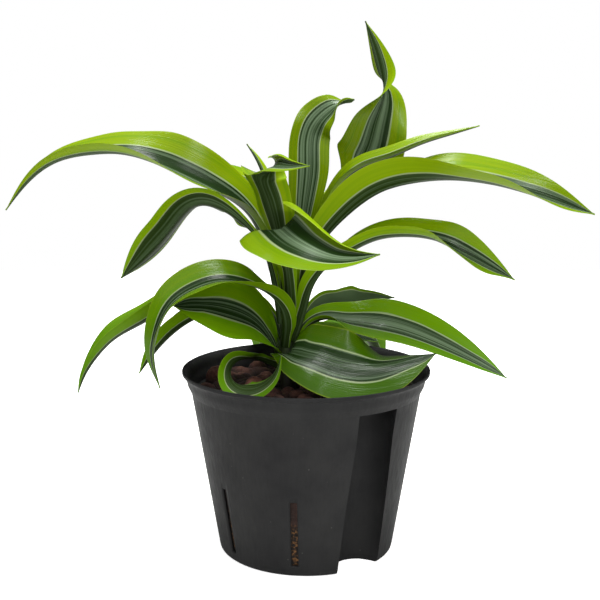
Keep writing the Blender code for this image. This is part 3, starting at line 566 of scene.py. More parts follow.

# %% [markdown]
# ## The cane
# All leaves spring from one short green cane. Old leaf bases leave fine rings on it, 4 mm
# apart. It could be a cylinder with a bump for the rings. As a tube whose radius follows a
# small table, with a soft ridge at each ring, it shows them on its outline too. Its skin is
# green with a mottle 2.5 mm wide and 8 mm long, and turns dark brown towards the foot.

# %% Cane finish
def green_cane():
    """Mottled green, drawn out along the cane, turning dark brown towards its foot."""
    made, tree, shader = new_material("young_green_cane")
    place = add(tree, "TexCoord", out="Object")
    tall = add(tree, "Mapping", {"Vector": place, "Scale": (1.0, 1.0, 0.3)})
    mottle = add(tree, "TexNoise", {"Vector": tall, "Scale": 400.0, "Detail": 3.0})
    shade = add(tree, "ValToRGB", {"Fac": mottle}, stops=((0.3, "#22301A"), (0.7, "#44542E")))
    height = add(tree, "SeparateXYZ", {"Vector": place}, out="Z")
    # Darker towards the foot, from 92 mm down to 76 mm.
    dark_foot = add(tree, "MapRange", {"Value": height, "From Min": 0.076, "From Max": 0.092,
                                   "To Min": 0.9, "To Max": 0.0})
    skin = add(tree, "Mix", {0: dark_foot, 6: shade, 7: "#1A150E"}, **COLOURS)
    fill(shader, {"Base Color": skin, "Roughness": 0.55})
    return made


# %% Cane
STEM_FOOT = 45.3
STEM_TOP = 118.0
STEM_PROFILE = ((STEM_FOOT, 3.6), (84.0, 3.6), (104.0, 3.8), (117.2, 4.2), (STEM_TOP, 3.4))
RING_SPACING = 4.0
RING_HEIGHT = 0.12
CANE_ROWS = 110
CANE_COLUMNS = 48
CANE_END = np.array((0.02, 0.4, 0.8))   # shares of the radius that close its ends


def stem_radius(height):
    """Radius of the cane, read between the rows of its profile."""
    return np.interp(height, [row[0] for row in STEM_PROFILE], [row[1] for row in STEM_PROFILE])


heights = np.concatenate([np.full(3, STEM_FOOT), np.linspace(STEM_FOOT, STEM_TOP, CANE_ROWS),
                          np.full(3, STEM_TOP)])
ridge = RING_HEIGHT * np.maximum(np.cos(heights * math.tau / RING_SPACING), 0.0) ** 6
radii = stem_radius(heights) + ridge - RING_HEIGHT
radii[:3] *= CANE_END
radii[-3:] *= CANE_END[::-1]
around = np.linspace(0.0, math.tau, CANE_COLUMNS + 1)[None, :-1]
points = np.stack([STEM_X + radii[:, None] * np.cos(around), radii[:, None] * np.sin(around),
                   heights[:, None] + 0 * around], -1)
faces = grid_faces(*points.shape[:2]) + end_faces(*points.shape[:2])
make_piece("green_cane", points.reshape(-1, 3), faces, [green_cane()], "stem")

# %% [markdown]
# ## Leaf finish
# A leaf is leathery with a thin waxy skin: highlights are clear but faint, so the roughness is
# low and the specular level too. Its pattern runs along it and is measured across it, on the
# leaf's own map: U goes from -1 at one margin over 0 at the midrib to 1 at the other, and V
# counts 100 mm along it, from elsewhere for every leaf. The pale line always lies at half of
# U, and the mesh stretches U so that the dark heart widens towards foot and tip.
#
# The upper face shows a dark green heart with grey-green streaks, a cream line, and a lime
# margin with greener streaks. The lower face has the same pattern, paler and duller. Lower
# leaves are older, so their lime is greener, and it is darker too, as painted shade. Two
# numbers stored on each leaf set how bright its lime is, partly as painted shade, and how grey
# its heart, on one leaf partly as a painted highlight. Fine ribs are a bump along both faces.
# A painted picture could give the same pattern, but noise drawn out along the leaf never
# repeats and stays sharp close up.

# %% Leaf pattern
def across_leaf(tree, blade):
    """Distance from the midrib, from 0 to 1, and the same swaying every 33 mm or so."""
    from_rib = add(tree, "SeparateXYZ", {"Vector": blade}, out="X")
    from_rib = add(tree, "Math", {0: from_rib}, operation="ABSOLUTE")
    wide = add(tree, "Mapping", {"Vector": blade, "Scale": (2.2, 3.0, 1.0)})
    sway = add(tree, "TexNoise", {"Vector": wide, "Scale": 1.0, "Detail": 2.0})
    shift = add(tree, "MapRange", {"Value": sway, "To Min": -0.07, "To Max": 0.07})
    return from_rib, add(tree, "Math", {0: from_rib, 1: shift}, operation="ADD")


def streaks(tree, blade):
    """Two noises drawn out along the leaf, added: broad bands and fine threads."""
    broad = add(tree, "Mapping", {"Vector": blade, "Scale": (4.2, 0.35, 1.0)})
    bands = add(tree, "TexNoise", {"Vector": broad, "Scale": 1.0, "Detail": 1.0})
    fine = add(tree, "Mapping", {"Vector": blade, "Scale": (15.0, 0.45, 1.0)})
    threads = add(tree, "TexNoise", {"Vector": fine, "Scale": 1.0, "Detail": 3.0, "Roughness": 0.6})
    return add(tree, "Math", {0: bands, 1: threads}, operation="ADD")


def dark_heart(tree, both, heart, streak):
    """Dark green with the streaks, which a grey leaf has more of; on low_right the added grey is partly a
    painted highlight.
    """
    greyness = add(tree, "Attribute", out="Fac", attribute_name="greyness")
    greyer = add(tree, "Math", {0: both, 1: greyness}, operation="ADD")
    pale = add(tree, "MapRange", {"Value": greyer, "From Min": 0.94, "From Max": 1.2})
    return add(tree, "Mix", {0: pale, 6: heart, 7: streak}, **COLOURS)


def lime_margin(tree, both, lime, old_and_shaded_lime):
    """Lime with greener streaks: wholly lime from 160 mm up, hardly so below 80 mm, where the older lime is
    greener and, as painted shade, darker.
    """
    place = add(tree, "TexCoord", out="Object")
    height = add(tree, "SeparateXYZ", {"Vector": place}, out="Z")
    # Age and painted shade: lower down the lime turns to the older, greener and darker lime.
    raised = add(tree, "MapRange", {"Value": height, "From Min": 0.08, "From Max": 0.16})
    young_and_lit = add(tree, "ValToRGB", {"Fac": raised}, stops=((0.0, 0.1), (0.4, 0.45), (1.0, 1.0)))
    lime_by_age_and_shade = add(tree, "Mix", {0: young_and_lit, 6: old_and_shaded_lime, 7: lime}, **COLOURS)
    greener = add(tree, "MapRange", {"Value": both, "From Min": 0.94, "From Max": 1.24, "To Max": 0.5})
    streaked = add(tree, "Mix", {0: greener, 6: lime_by_age_and_shade, 7: old_and_shaded_lime}, **COLOURS)
    # Each leaf's brightness multiplies its lime: partly its own tone, partly painted shade, most of all on
    # low_front_wavy.
    bright = add(tree, "Attribute", out="Color", attribute_name="brightness")
    return add(tree, "Mix", {0: 1.0, 6: streaked, 7: bright}, **COLOURS, blend_type="MULTIPLY")


# %% Leaf skins
def striped_leaf(name, heart, streak, line, lime, old_and_shaded_lime, edge, rough, sheen, ribbed):
    """Leaf skin: bands by the distance from the midrib, and a bump for the ribs along it."""
    made, tree, shader = new_material(name)
    blade = add(tree, "UVMap", uv_map="blade")
    from_rib, across = across_leaf(tree, blade)
    both = streaks(tree, blade)
    inner = dark_heart(tree, both, heart, streak)
    outer = lime_margin(tree, both, lime, old_and_shaded_lime)
    outside = add(tree, "MapRange", {"Value": across, "From Min": 0.475, "From Max": 0.505})
    base = add(tree, "Mix", {0: outside, 6: inner, 7: outer}, **COLOURS)
    line_at = add(tree, "ValToRGB", {"Fac": across},
                  stops=((0.452, 0.0), (0.485, 1.0), (0.497, 1.0), (0.53, 0.0)))
    lined = add(tree, "Mix", {0: line_at, 6: base, 7: line}, **COLOURS)
    rim_at = add(tree, "MapRange", {"Value": from_rib, "From Min": 0.965, "From Max": 1.0, "To Max": 0.6})
    skin = add(tree, "Mix", {0: rim_at, 6: lined, 7: edge}, **COLOURS)
    along = add(tree, "SeparateXYZ", {"Vector": blade}, out="Y")
    sideways = add(tree, "Attribute", out="Fac", attribute_name="ribs")
    ribs = add(tree, "CombineXYZ", {"X": sideways, "Y": along})
    veins = add(tree, "TexNoise", {"Vector": ribs, "Scale": 1.0, "Detail": 2.0})
    relief = add(tree, "Bump", {"Height": veins, "Strength": ribbed, "Distance": 0.0003})
    fill(shader, {"Base Color": skin, "Roughness": rough, "IOR": 1.45,
                  "Specular IOR Level": sheen, "Normal": relief})
    return made


upper_skin = striped_leaf("waxy_leaf_upper_face", "#182A0E", "#596B51", "#84926A", "#6E8602",
                          "#447404", "#7E9024", rough=0.18, sheen=0.15, ribbed=0.5)
lower_skin = striped_leaf("matt_leaf_lower_face", "#22320E", "#45573A", "#86926A", "#7A9402",
                          "#4C7C04", "#7A8C2C", rough=0.45, sheen=0.05, ribbed=0.06)

# %% [markdown]
# ## The leaves
# Each leaf is one thin closed blade. Its keel is a smooth line through a few points, each
# with the way the upper face looks there. Across the keel the blade folds up on both sides
# like a shallow gutter. It could be a bent plane with a lattice, but then each of the 23
# would be shaped by hand. The points and the formula are the CAD's, so every leaf stays where
# its solid is. Only the grid is finer, the foot clasps the cane more widely, the margins thin
# out, and some get small waves.

# %% Leaf table
# Widths are in mm, folds in degrees, places and reaches in shares of the length. A curl is
# the side (1 or -1), its degrees at that margin, and where it begins, is full, fades and ends.
# A wave is the side, its place, its reach and its lift in mm. The heart is the share of the
# half width that the dark middle takes, brightness is the lime's and partly painted shade, and
# greyness is added to the heart's streaks, on low_right partly as a painted highlight. A leaf
# springs from the cane's side (angle round it, height) or its top (offset x, y). A row of the
# midrib is a point on the keel and the way the upper face looks.
USUAL_LEAF = dict(widest=0.5, start=0.04, neck=0.34, tip_power=2.2, fold=38, petiole_fold=56,
                  tip_from=0.6, tip_to=0.95, clasp=3.4, curl=(), waves=(), heart=0.42,
                  brightness=1.0, greyness=0.0)
LEAVES = {
    "long_left": dict(width=31, widest=0.46, tip_power=1.7,
        waves=((1, 0.52, 0.05, 0.9), (1, 0.6, 0.05, -0.9)), brightness=0.9, greyness=-0.06,
        side=(155, 108), midrib=[
        (-16, 3, 126, 1, -0.1, 0.4), (-19.5, 3, 138, 0.9, -0.2, 0.6), (-26.5, 2, 151, 0.7, -0.3, 0.8),
        (-39, -1, 160.5, 0.4, -0.5, 0.8), (-53, -5, 168, 0.3, -0.62, 0.8),
        (-73, -8, 175.5, 0.1, -0.35, 0.95), (-91, -7, 176, -0.15, -0.15, 1),
        (-107, -5, 172.5, -0.4, -0.12, 0.9), (-120, -3, 163.5, -0.6, -0.1, 0.75),
        (-130, -2, 152, -0.75, -0.1, 0.6)]),
    "long_right": dict(width=33, brightness=0.9, side=(-20, 106), midrib=[
        (0.5, -4.5, 123.5, -1, 0.2, 0.5), (4, -7, 133, -0.9, 0.3, 0.6), (9, -10, 141.5, -0.75, 0.45, 0.75),
        (17.5, -12.5, 151, -0.5, 0.5, 0.8), (30, -14, 160, -0.3, 0.4, 0.9),
        (45.5, -14, 164.5, -0.1, 0.15, 1), (62.5, -13, 165.5, 0.05, -0.2, 0.95),
        (81.5, -12, 163, 0.15, -0.35, 0.9), (101, -10, 158, 0.25, -0.75, 0.7),
        (114.5, -8, 153.5, 0.3, -0.95, 0.5), (123.5, -7, 150.5, 0.3, -0.95, 0.5)]),
    "slim_upper_right": dict(width=13, widest=0.52, start=0.14, neck=0.32, fold=42,
        side=(20, 112), midrib=[
        (1.5, 5, 134, -0.8, -0.3, 0.3), (8.5, 6, 150.5, -0.7, -0.2, 0.5), (15, 4, 162, -0.6, -0.2, 0.7),
        (24, 1, 170, -0.4, -0.3, 0.85), (36, -1, 174.5, -0.3, -0.3, 0.9), (49, -1, 180, -0.3, -0.3, 0.9),
        (61.5, 0, 184, -0.3, -0.2, 0.9), (74.5, 1, 188, -0.3, -0.2, 0.9)]),
    "tall_twisted": dict(width=31, widest=0.55, start=0.42, neck=0.36, tip_power=1.45, fold=24,
        petiole_fold=24, tip_fold=19, tip_from=0.44, tip_to=0.54, brightness=0.85, greyness=0.07,
        side=(84, 114.5), midrib=[
        (-1, 11, 135.5, -0.1, -1, 0.1), (7, 16, 148.5, -0.1, -1, 0.1), (19.5, 18, 162.5, 0, -1, 0.2),
        (28.5, 16, 177, 0.1, -1, 0.15), (31.5, 13, 189.5, 0.25, -1, 0.1), (34, 11, 200.5, 0.75, -0.6, 0),
        (33, 10, 210, 0.9, 0.5, 0), (30, 10, 221, 0.7, 0.7, -0.2), (25.5, 10, 232.5, 0.6, 0.7, -0.3)]),
    "upright_curled": dict(width=18.5, widest=0.6, start=0.1, neck=0.36, tip_power=4, fold=20,
        petiole_fold=22, heart=0.56, brightness=0.75, greyness=0.09, top=(1.1, 0.2), midrib=[
        (-2.5, 1.5, 141, 0.1, -1, 0.1), (-0.5, 1.5, 156, 0, -1, 0.1), (1, 1.5, 169, 0, -1, 0.1),
        (1, 2, 179, 0.1, -1, 0.1), (2, 2.5, 185.5, 0.2, -1, 0.2), (5.5, 2, 191, 0.1, -0.9, 0.5),
        (11, 1, 195.5, 0, -0.8, 0.6), (16, 0, 197.5, 0, 0.1, 1), (20.5, -1, 199, 0.1, 1, 0.3)]),
    "folded_upper_left": dict(width=21, widest=0.6, start=0.2, neck=0.36, fold=26, petiole_fold=24,
        tip_fold=5, curl=((-1, 160, 0.6, 0.72, 1.2, 1.3),), heart=0.55, brightness=0.85,
        side=(249, 109), midrib=[
        (-9.5, -11.5, 130.5, 0.4, 0.9, 0.1), (-12.5, -13.5, 145.5, 0.4, 0.9, 0.2),
        (-16, -13, 158, 0.4, 0.85, 0.3), (-18.5, -13, 165.5, 0.2, 0.6, 0.75),
        (-16, -20, 169, -0.45, 0.1, 0.9), (-12.5, -30, 172, -0.25, -0.5, 0.85),
        (-7.5, -38, 172, -0.1, -0.5, 0.85), (1, -44, 172.5, 0, -0.5, 0.85)]),
    "front_crossing": dict(width=37, start=0.24, neck=0.25, tip_power=1.7, fold=28, tip_fold=4,
        tip_from=0.42, tip_to=0.66, curl=((-1, 150, 0.38, 0.5, 1.2, 1.3), (1, -50, 0.3, 0.42, 0.46, 0.62)),
        heart=0.48, brightness=0.85, greyness=-0.09, side=(-88, 103), midrib=[
        (-7, -11, 114, 0, 1, 0.1), (-8, -16, 128.5, 0, 1, 0.15), (-10, -22, 140.5, -0.1, 0.85, 0.5),
        (-11, -27, 146, -0.36, 0.1, 0.92), (-7.5, -35, 144.5, -0.35, -0.25, 0.9),
        (-0.5, -44, 141, -0.15, -0.5, 0.85), (9, -52, 138, 0, -0.57, 0.8),
        (18.5, -58, 138, 0.1, -0.55, 0.8), (27.5, -62, 140, 0, -0.5, 0.8)]),
    "mid_right": dict(width=24, widest=0.58, neck=0.35, fold=36,
        waves=((1, 0.7, 0.05, -1.8), (1, 0.8, 0.05, 2.2), (1, 0.9, 0.04, -1.4)), side=(-44, 94), midrib=[
        (0, -6, 109.5, -0.6, 0.5, 0.5), (2.5, -9, 119, -0.6, 0.4, 0.6), (8.5, -12, 128, -0.5, 0.3, 0.8),
        (18.5, -14, 135, -0.4, 0.1, 0.9), (30, -15, 140.5, -0.2, 0, 1), (42.5, -16, 142, 0, -0.1, 1),
        (54, -16, 140.5, 0.2, -0.25, 0.95), (66, -15, 135.5, 0.3, -0.8, 0.5),
        (78, -14, 129, 0.4, -0.9, 0.4), (89, -13, 123, 0.5, -0.8, 0.4)]),
    # Its greyness is partly a painted highlight on its heart.
    "low_right": dict(width=27, widest=0.48, fold=20, greyness=0.07, side=(-22, 88), midrib=[
        (0.5, -0.5, 99, -0.5, -0.2, 0.8), (8, 0.5, 103.5, -0.3, -0.3, 0.9),
        (17, 0.5, 103, -0.1, -0.42, 0.88), (30.5, -2.5, 102, 0, -0.55, 0.8),
        (43.5, -5, 99.5, 0.1, -0.55, 0.8), (58.5, -8, 94, 0.3, -0.55, 0.75),
        (73.5, -11, 87, 0.4, -0.55, 0.7), (87, -13, 80, 0.4, -0.5, 0.6)]),
    # Its low brightness is mostly painted shade under the leaves above it.
    "low_front_wavy": dict(width=33, widest=0.46, neck=0.86, fold=8, petiole_fold=30, tip_fold=-24,
        tip_from=0.42, tip_to=0.72, clasp=4.2, brightness=0.45, greyness=-0.01, side=(-65, 82), midrib=[
        (-7.5, -11, 90.5, -0.1, -0.4, 0.95), (-2, -15.5, 91, 0, -0.65, 0.75),
        (5, -18.5, 90, 0, -0.75, 0.65), (12, -20.5, 88, 0, -0.8, 0.6), (22.5, -22.5, 86.5, 0, -0.7, 0.7),
        (33, -23.5, 87.5, -0.1, -0.5, 0.85), (44, -22.5, 90, -0.2, -0.45, 0.85),
        (55, -20.5, 92.5, -0.2, -0.4, 0.9)]),
    "ringed_low_left": dict(width=13.5, neck=0.5, fold=18, heart=0.55, brightness=0.75,
        side=(-112, 81), midrib=[
        (-20.5, -6, 86.5, 0, 0.1, 1), (-27, -15, 89, -0.1, 0.4, 1), (-31.5, -20, 87.5, -0.75, 0.5, 0.4),
        (-32, -26, 83.5, -0.85, 0.55, -0.2), (-28, -31, 80.5, -0.35, 0.55, -0.8),
        (-22, -33, 80.5, 0.3, 0.55, -0.8), (-16, -31, 83, 0.65, 0.55, -0.5),
        (-12.5, -28, 87, 0.8, 0.5, -0.2), (-10.5, -24, 92.5, 0.9, 0.4, -0.1)]),
    "low_far_left": dict(width=26, widest=0.55, neck=0.3, heart=0.36, side=(140, 93), midrib=[
        (-20, 8, 107, 0.6, -0.2, 0.8), (-33.5, 11, 111.5, 0.3, -0.2, 0.9), (-48, 11, 111.5, 0, -0.1, 1),
        (-61, 9, 107.5, -0.3, 0, 0.95), (-73, 8, 100.5, -0.4, 0, 0.9), (-85, 6, 94, -0.5, -0.1, 0.85),
        (-93, 5, 86.5, -0.65, -0.1, 0.75), (-99, 4, 78, -0.85, -0.1, 0.5), (-103, 4, 69, -0.9, -0.1, 0.4)]),
    "arched_low_left": dict(width=22, widest=0.42, neck=0.4, fold=30, petiole_fold=38,
        waves=((1, 0.2, 0.05, 1.5), (1, 0.3, 0.05, -1.2)), heart=0.3, brightness=0.8,
        side=(-124, 92), midrib=[
        (-10, -13.5, 108, 0.6, 0.6, 0.4), (-14.5, -15, 116, 0.5, 0.3, 0.8),
        (-23, -16, 121, 0.25, -0.1, 0.95), (-35.5, -18, 123.5, 0.1, -0.35, 0.9),
        (-46.5, -20, 121, -0.15, -0.5, 0.85), (-56, -22, 115, -0.5, -0.5, 0.7),
        (-62, -22, 105, -0.8, -0.5, 0.4), (-65, -20, 92, -0.85, -0.5, 0.1),
        (-63, -17, 76.5, -0.9, -0.4, -0.1)]),
    "behind_arch_left": dict(width=24, widest=0.6, neck=0.35, fold=36, side=(172, 87), midrib=[
        (-19, 3, 97, 0.4, 0, 0.9), (-30.5, 4, 103.5, 0.2, 0, 1), (-43.5, 3, 105, -0.1, 0.1, 1),
        (-55, 1, 100, -0.4, 0.1, 0.9), (-65, 0, 91, -0.6, 0.1, 0.8), (-74.5, 0, 79, -0.7, 0, 0.7)]),
    "broad_low_left": dict(width=31, widest=0.55, neck=0.26, fold=14, petiole_fold=30, heart=0.32,
        brightness=1.2, side=(223, 84), midrib=[
        (-16.5, -7, 96.5, 0.5, -0.4, 0.75), (-23, -9.5, 104.5, 0.3, -0.6, 0.75),
        (-32.5, -12, 109.5, 0.1, -0.75, 0.65), (-43.5, -14, 112, -0.1, -0.75, 0.65),
        (-56.5, -15, 112, -0.2, -0.8, 0.6)]),
    "small_back_right": dict(width=15, widest=0.45, neck=0.6, fold=20,
        waves=((1, 0.45, 0.06, -1.5), (1, 0.62, 0.06, 1.6), (-1, 0.5, 0.07, 1.4), (-1, 0.72, 0.06, -1.4)),
        heart=0.8, brightness=0.75, greyness=0.4, side=(52, 96), midrib=[
        (0, 6, 101, -0.6, -0.1, 0.6), (5.5, 8, 107, -0.4, 0.7, 0.6), (13.5, 11, 109, -0.2, 0.9, 0.5),
        (23, 14, 109, -0.2, 0.9, 0.5), (32, 16, 110, -0.2, 0.8, 0.6), (40.5, 17, 110.5, -0.2, 0.7, 0.7)]),
    "small_low_back_right": dict(width=15, neck=0.5, fold=25, side=(28, 83), midrib=[
        (2.5, 8, 95.5, -0.3, -0.2, 0.9), (14.5, 14, 94, -0.1, -0.3, 0.9), (25, 19, 91, 0.1, -0.4, 0.9),
        (34, 23, 88.5, 0.2, -0.4, 0.9)]),
    "drooping_left": dict(width=26, widest=0.7, start=0.35, neck=0.26, fold=22,
        waves=((1, 0.33, 0.03, 1.8), (1, 0.4, 0.03, -1.6), (1, 0.47, 0.03, 1.8)), heart=0.74,
        side=(200, 102), midrib=[
        (-16.5, -6, 129, 0.9, 0.3, 0.5), (-21.5, -9.5, 141, 0.7, 0.4, 0.7),
        (-30, -11, 149.5, 0.4, 0.6, 0.7), (-41, -6.5, 154.5, -0.1, 0.7, 0.7),
        (-50.5, 0, 152.5, -0.6, 0.6, 0.5), (-59, 5, 143.5, -0.8, 0.5, 0.3),
        (-69.5, 8, 132.5, -0.75, 0.6, 0.25), (-83, 10, 120.5, -0.7, 0.7, 0.2)]),
    "young_spear": dict(width=8, neck=0.6, fold=45, top=(-2.8, -0.3), midrib=[
        (-12.5, -1, 145.5, 0.3, 0.9, 0.2), (-16.5, 1.5, 160.5, 0.4, 0.8, 0.3), (-21, 5, 172, 0.5, 0.7, 0.3),
        (-26, 9, 180, 0.5, 0.7, 0.3)]),
    "back_low_left": dict(width=24, neck=0.4, fold=28, side=(128, 82), midrib=[
        (-12, 18, 90, 0, -0.2, 1), (-15, 38, 91, 0, 0, 1), (-18, 58, 86, 0, 0.3, 0.95),
        (-20, 74, 73, 0, 0.6, 0.8), (-21, 84, 58, 0, 0.8, 0.6)]),
    "back_low_right": dict(width=22, neck=0.4, fold=30, side=(78, 86), midrib=[
        (4, 18, 87, -0.1, -0.2, 1), (16, 36, 90, 0, 0, 1), (27, 53, 87, 0.1, 0.3, 0.95),
        (35, 66, 77, 0.2, 0.6, 0.8), (40, 75, 64, 0.3, 0.8, 0.6)]),
    "back_high_right": dict(width=12.5, widest=0.55, neck=0.4, side=(46, 106), midrib=[
        (2.5, 18, 135.5, -0.3, -0.8, 0.5), (10, 26, 150, -0.3, -0.5, 0.8),
        (17.5, 37, 158.5, -0.2, -0.3, 0.9), (25, 49, 164.5, -0.1, 0, 1), (32, 61, 165.5, 0, 0.1, 1),
        (39.5, 73, 165, 0.1, 0.2, 0.95)]),
    "back_high_left": dict(width=18, widest=0.55, neck=0.4, side=(112, 110), midrib=[
        (-10, 18, 143.5, 0.4, -0.7, 0.5), (-19, 27, 155, 0.4, -0.5, 0.8), (-28.5, 38, 161, 0.3, -0.3, 0.9),
        (-37.5, 51, 165, 0.1, 0, 1), (-46, 63, 167.5, 0, 0.1, 0.95), (-53.5, 73, 167.5, 0, 0.2, 0.95)]),
}
print("leaves:", len(LEAVES))

# %% Steps and splines
def ease(low, high, share):
    """Smooth step from 0 at low to 1 at high: 3 t^2 - 2 t^3."""
    part = np.clip((share - low) / (high - low), 0.0, 1.0)
    return part * part * (3.0 - 2.0 * part)


def unit(rows):
    """Each row divided by its length."""
    return rows / np.linalg.norm(rows, axis=-1, keepdims=True)


def natural_spline(knots, values, at):
    """Natural cubic spline through values at knots: its bend solves one linear system."""
    count = len(knots)
    step = np.diff(knots)
    slope = np.diff(values, axis=0) / step[:, None]
    system = np.eye(count)
    inner = np.arange(1, count - 1)
    system[inner, inner - 1] = step[:-1]
    system[inner, inner] = 2.0 * (step[:-1] + step[1:])
    system[inner, inner + 1] = step[1:]
    right = np.zeros((count, values.shape[1]))
    right[1:-1] = 6.0 * np.diff(slope, axis=0)
    bend = np.linalg.solve(system, right)
    i = np.clip(np.searchsorted(knots, at) - 1, 0, count - 2)
    width = step[i][:, None]
    a = ((knots[i + 1] - at) / step[i])[:, None]
    b = 1.0 - a
    curve = ((a ** 3 - a) * bend[i] + (b ** 3 - b) * bend[i + 1]) * width ** 2 / 6.0
    return a * values[i] + b * values[i + 1] + curve


# %% Keel, width and fold of a leaf
SEAT_GAP = 0.9                 # from the cane's skin to a leaf's first point
LEAST_HALF_WIDTH = 0.35
TIP_ROUNDING = 1.05
CLASP_FOLD = 44.0
CLASP_END = (0.03, 0.15)       # shares of the length where the clasp turns into the petiole
PETIOLE_END = (0.12, 0.34)     # and the petiole into the blade
CLASP_WIDENS = (0.04, 0.34)
KEEL_STEPS = 400


def seat_point(leaf):
    """Where a leaf leaves the cane's side or top, and the way its upper face looks there."""
    if "top" in leaf:
        x, y = leaf["top"]
        return np.array([STEM_X + x, y, STEM_TOP + 0.7]), np.array([0.0, -1.0, 0.0])
    degrees, height = leaf["side"]
    angle = math.radians(degrees)
    outward = np.array([math.cos(angle), math.sin(angle), 0.0])
    middle = np.array([STEM_X, 0.0, height])
    return middle + outward * (stem_radius(height) + SEAT_GAP), -outward


def keel_line(leaf, share):
    """Keel points at shares of the length, the ways up and sideways there, and the length.

    The keel is the spline through the seat and the midrib's points, with knots apart by the
    square root of the distance. Up is the given look made square to the keel, and sideways is
    the way ahead times up.
    """
    start, look = seat_point(leaf)
    rows = np.array(leaf["midrib"], float)
    points = np.vstack([start, rows[:, :3]])
    looks = unit(np.vstack([look, rows[:, 3:]]))
    hops = np.linalg.norm(np.diff(points, axis=0), axis=1)
    knots = np.concatenate([[0.0], np.cumsum(np.sqrt(hops))])
    fine = natural_spline(knots, np.hstack([points, looks]), np.linspace(0.0, knots[-1], KEEL_STEPS))
    travel = np.concatenate([[0.0], np.cumsum(np.linalg.norm(np.diff(fine[:, :3], axis=0), axis=1))])
    table = np.hstack([fine, unit(np.gradient(fine[:, :3], travel, axis=0))])
    read = np.stack([np.interp(share * travel[-1], travel, column) for column in table.T], 1)
    ahead = unit(read[:, 6:])
    up = unit(read[:, 3:6] - (read[:, 3:6] * ahead).sum(1)[:, None] * ahead)
    return read[:, :3], up, np.cross(ahead, up), travel[-1]


def half_widths(leaf, share):
    """Half width: from the neck to the widest place by a smooth step, then a fall to the tip."""
    neck = leaf["neck"]
    widest = leaf["widest"]
    fall = np.clip((share - widest) / (1.0 - widest), 0.0, 1.0) ** leaf["tip_power"]
    rise = neck + (1.0 - neck) * ease(leaf["start"], widest, share)
    outline = rise * (1.0 - fall) ** TIP_ROUNDING
    half = np.maximum(leaf["width"] / 2 * outline, LEAST_HALF_WIDTH)
    return np.minimum(half, leaf["clasp"] + leaf["width"] / 2 * ease(*CLASP_WIDENS, share))


def fold_angles(leaf, share):
    """Fold in radians: that of the clasp, then of the petiole, of the blade and of the tip."""
    fold = leaf["fold"] + (leaf["petiole_fold"] - leaf["fold"]) * (1.0 - ease(*PETIOLE_END, share))
    fold = CLASP_FOLD + (fold - CLASP_FOLD) * ease(*CLASP_END, share)
    tip_fold = leaf.get("tip_fold", leaf["fold"])
    fold = fold + (tip_fold - fold) * ease(leaf["tip_from"], leaf["tip_to"], share)
    return np.radians(fold)[:, None]


# %% Leaf surface
KEEL_ROUNDING = 0.12
SECTION_STEPS = 81
STATIONS = 110
COLUMNS = 21


def cross_sections(leaf, share, half, across):
    """How far to the side and how far up from the keel each point of a leaf lies.

    Across, the blade climbs at the angle fold * v / sqrt(v^2 + k^2), plus each curl's own angle
    near its margin. Its cosine and sine, summed from the keel outwards and times the half
    width, give both distances.
    """
    grid = np.linspace(-1.0, 1.0, SECTION_STEPS)[None]
    slope = fold_angles(leaf, share) * grid / np.sqrt(grid ** 2 + KEEL_ROUNDING ** 2)
    for edge, degrees, begin, full, fade, end in leaf["curl"]:
        reach = ease(begin, full, share) * (1.0 - ease(fade, end, share))
        slope = slope + edge * np.radians(degrees) * reach[:, None] * ease(0.3, 1.0, edge * grid)
    middle = SECTION_STEPS // 2
    distances = []
    for part in (np.cos(slope), np.sin(slope)):
        total = np.cumsum(part, 1) / middle
        total = half[:, None] * (total - total[:, middle:middle + 1])
        distances.append(np.stack([np.interp(across, grid[0], row) for row in total]))
    return distances


def leaf_surface(leaf):
    """Middle surface of a leaf as a grid of points: keel + side * out + up * (lift + waves).

    Also returns each row's share of the length, the columns' places across, the length and
    the half widths. A wave is height * exp(-((share - place) / reach)^2) * v^2.
    """
    share = np.linspace(0.0, 1.0, STATIONS)
    across = np.sin(np.linspace(-math.pi / 2, math.pi / 2, COLUMNS))
    keel, up, side, length = keel_line(leaf, share)
    half = half_widths(leaf, share)
    out, lift = cross_sections(leaf, share, half, across)
    surface = keel[:, None] + side[:, None] * out[..., None] + up[:, None] * lift[..., None]
    for edge, place, reach, height in leaf["waves"]:
        wave = height * np.exp(-((share - place) / reach) ** 2)[:, None]
        wave = wave * np.clip(across * edge, 0.0, 1.0)[None] ** 2
        surface = surface + up[:, None] * wave[..., None]
    return surface, share, across, length, half


# %% Leaf map
FOOT_LINE = 0.86
FOOT_END = 0.3
TIP_LINE = 0.66
TIP_START = 0.78
MAP_STEP = 7.3                 # how far on in V the next leaf starts


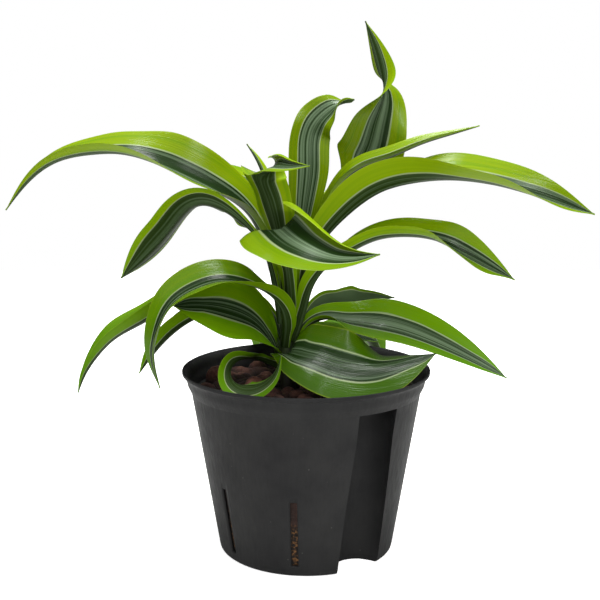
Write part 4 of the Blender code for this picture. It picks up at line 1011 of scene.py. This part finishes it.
def line_place(share, heart):
    """Where across the blade the cream line runs: near the margin at the foot, then at heart."""
    foot = FOOT_LINE - (FOOT_LINE - heart) * ease(0.0, FOOT_END, share)
    return foot + (TIP_LINE - foot) * ease(TIP_START, 1.0, share)


def leaf_map(heart, share, across, length, order):
    """U across the blade, with the cream line at a half on each side, and V along it."""
    line = line_place(share, heart)[:, None]
    far = np.abs(across)[None]
    place = np.where(far < line, 0.5 * far / line, 0.5 + 0.5 * (far - line) / (1.0 - line))
    u = np.sign(across)[None] * place
    v = np.broadcast_to((share * length / 100.0)[:, None], u.shape) + order * MAP_STEP
    return np.stack([u, v], -1)


# %% Leaf blades
BLADE_THICKNESS = 0.6
RIB_SPACING = 0.45


def both_faces(upper, lower):
    """One ring for each row: over the upper face and back along the lower face."""
    return np.concatenate([upper, lower[:, -2:0:-1]], 1)


def store(piece, title, values):
    """Keeps a number for each point of a piece, which its finish reads."""
    layer = piece.data.attributes.new(title, "FLOAT", "POINT")
    layer.data.foreach_set("value", np.asarray(values, dtype=np.float32).ravel())


def make_leaf(name, leaf, order):
    """Closed blade: the middle surface moved t sqrt(1 - v^2) both ways, t half the thickness."""
    surface, share, across, length, half = leaf_surface(leaf)
    normals = unit(np.cross(np.gradient(surface, axis=1), np.gradient(surface, axis=0)))
    thick = BLADE_THICKNESS / 2 * np.sqrt(np.clip(1.0 - across ** 2, 0.0, 1.0))
    shift = normals * thick[None, :, None]
    rings = both_faces(surface + shift, surface - shift)
    ring = rings.shape[1]
    uv = leaf_map(leaf["heart"], share, across, length, order)
    faces = grid_faces(STATIONS, ring) + end_faces(STATIONS, ring)
    which = np.tile(np.arange(ring) >= COLUMNS - 1, STATIONS - 1).astype(int).tolist()
    piece = make_piece("blade_" + name, rings.reshape(-1, 3), faces, [upper_skin, lower_skin],
                       "leaf_" + name, both_faces(uv, uv).reshape(-1, 2), which + [1, 1],
                       sharp=70.0)
    ribs = half[:, None] * across / RIB_SPACING
    store(piece, "ribs", both_faces(ribs, ribs))
    for title in ("brightness", "greyness"):
        store(piece, title, np.full(STATIONS * ring, leaf[title]))


for order, (name, leaf) in enumerate(LEAVES.items()):
    make_leaf(name, USUAL_LEAF | leaf, order)
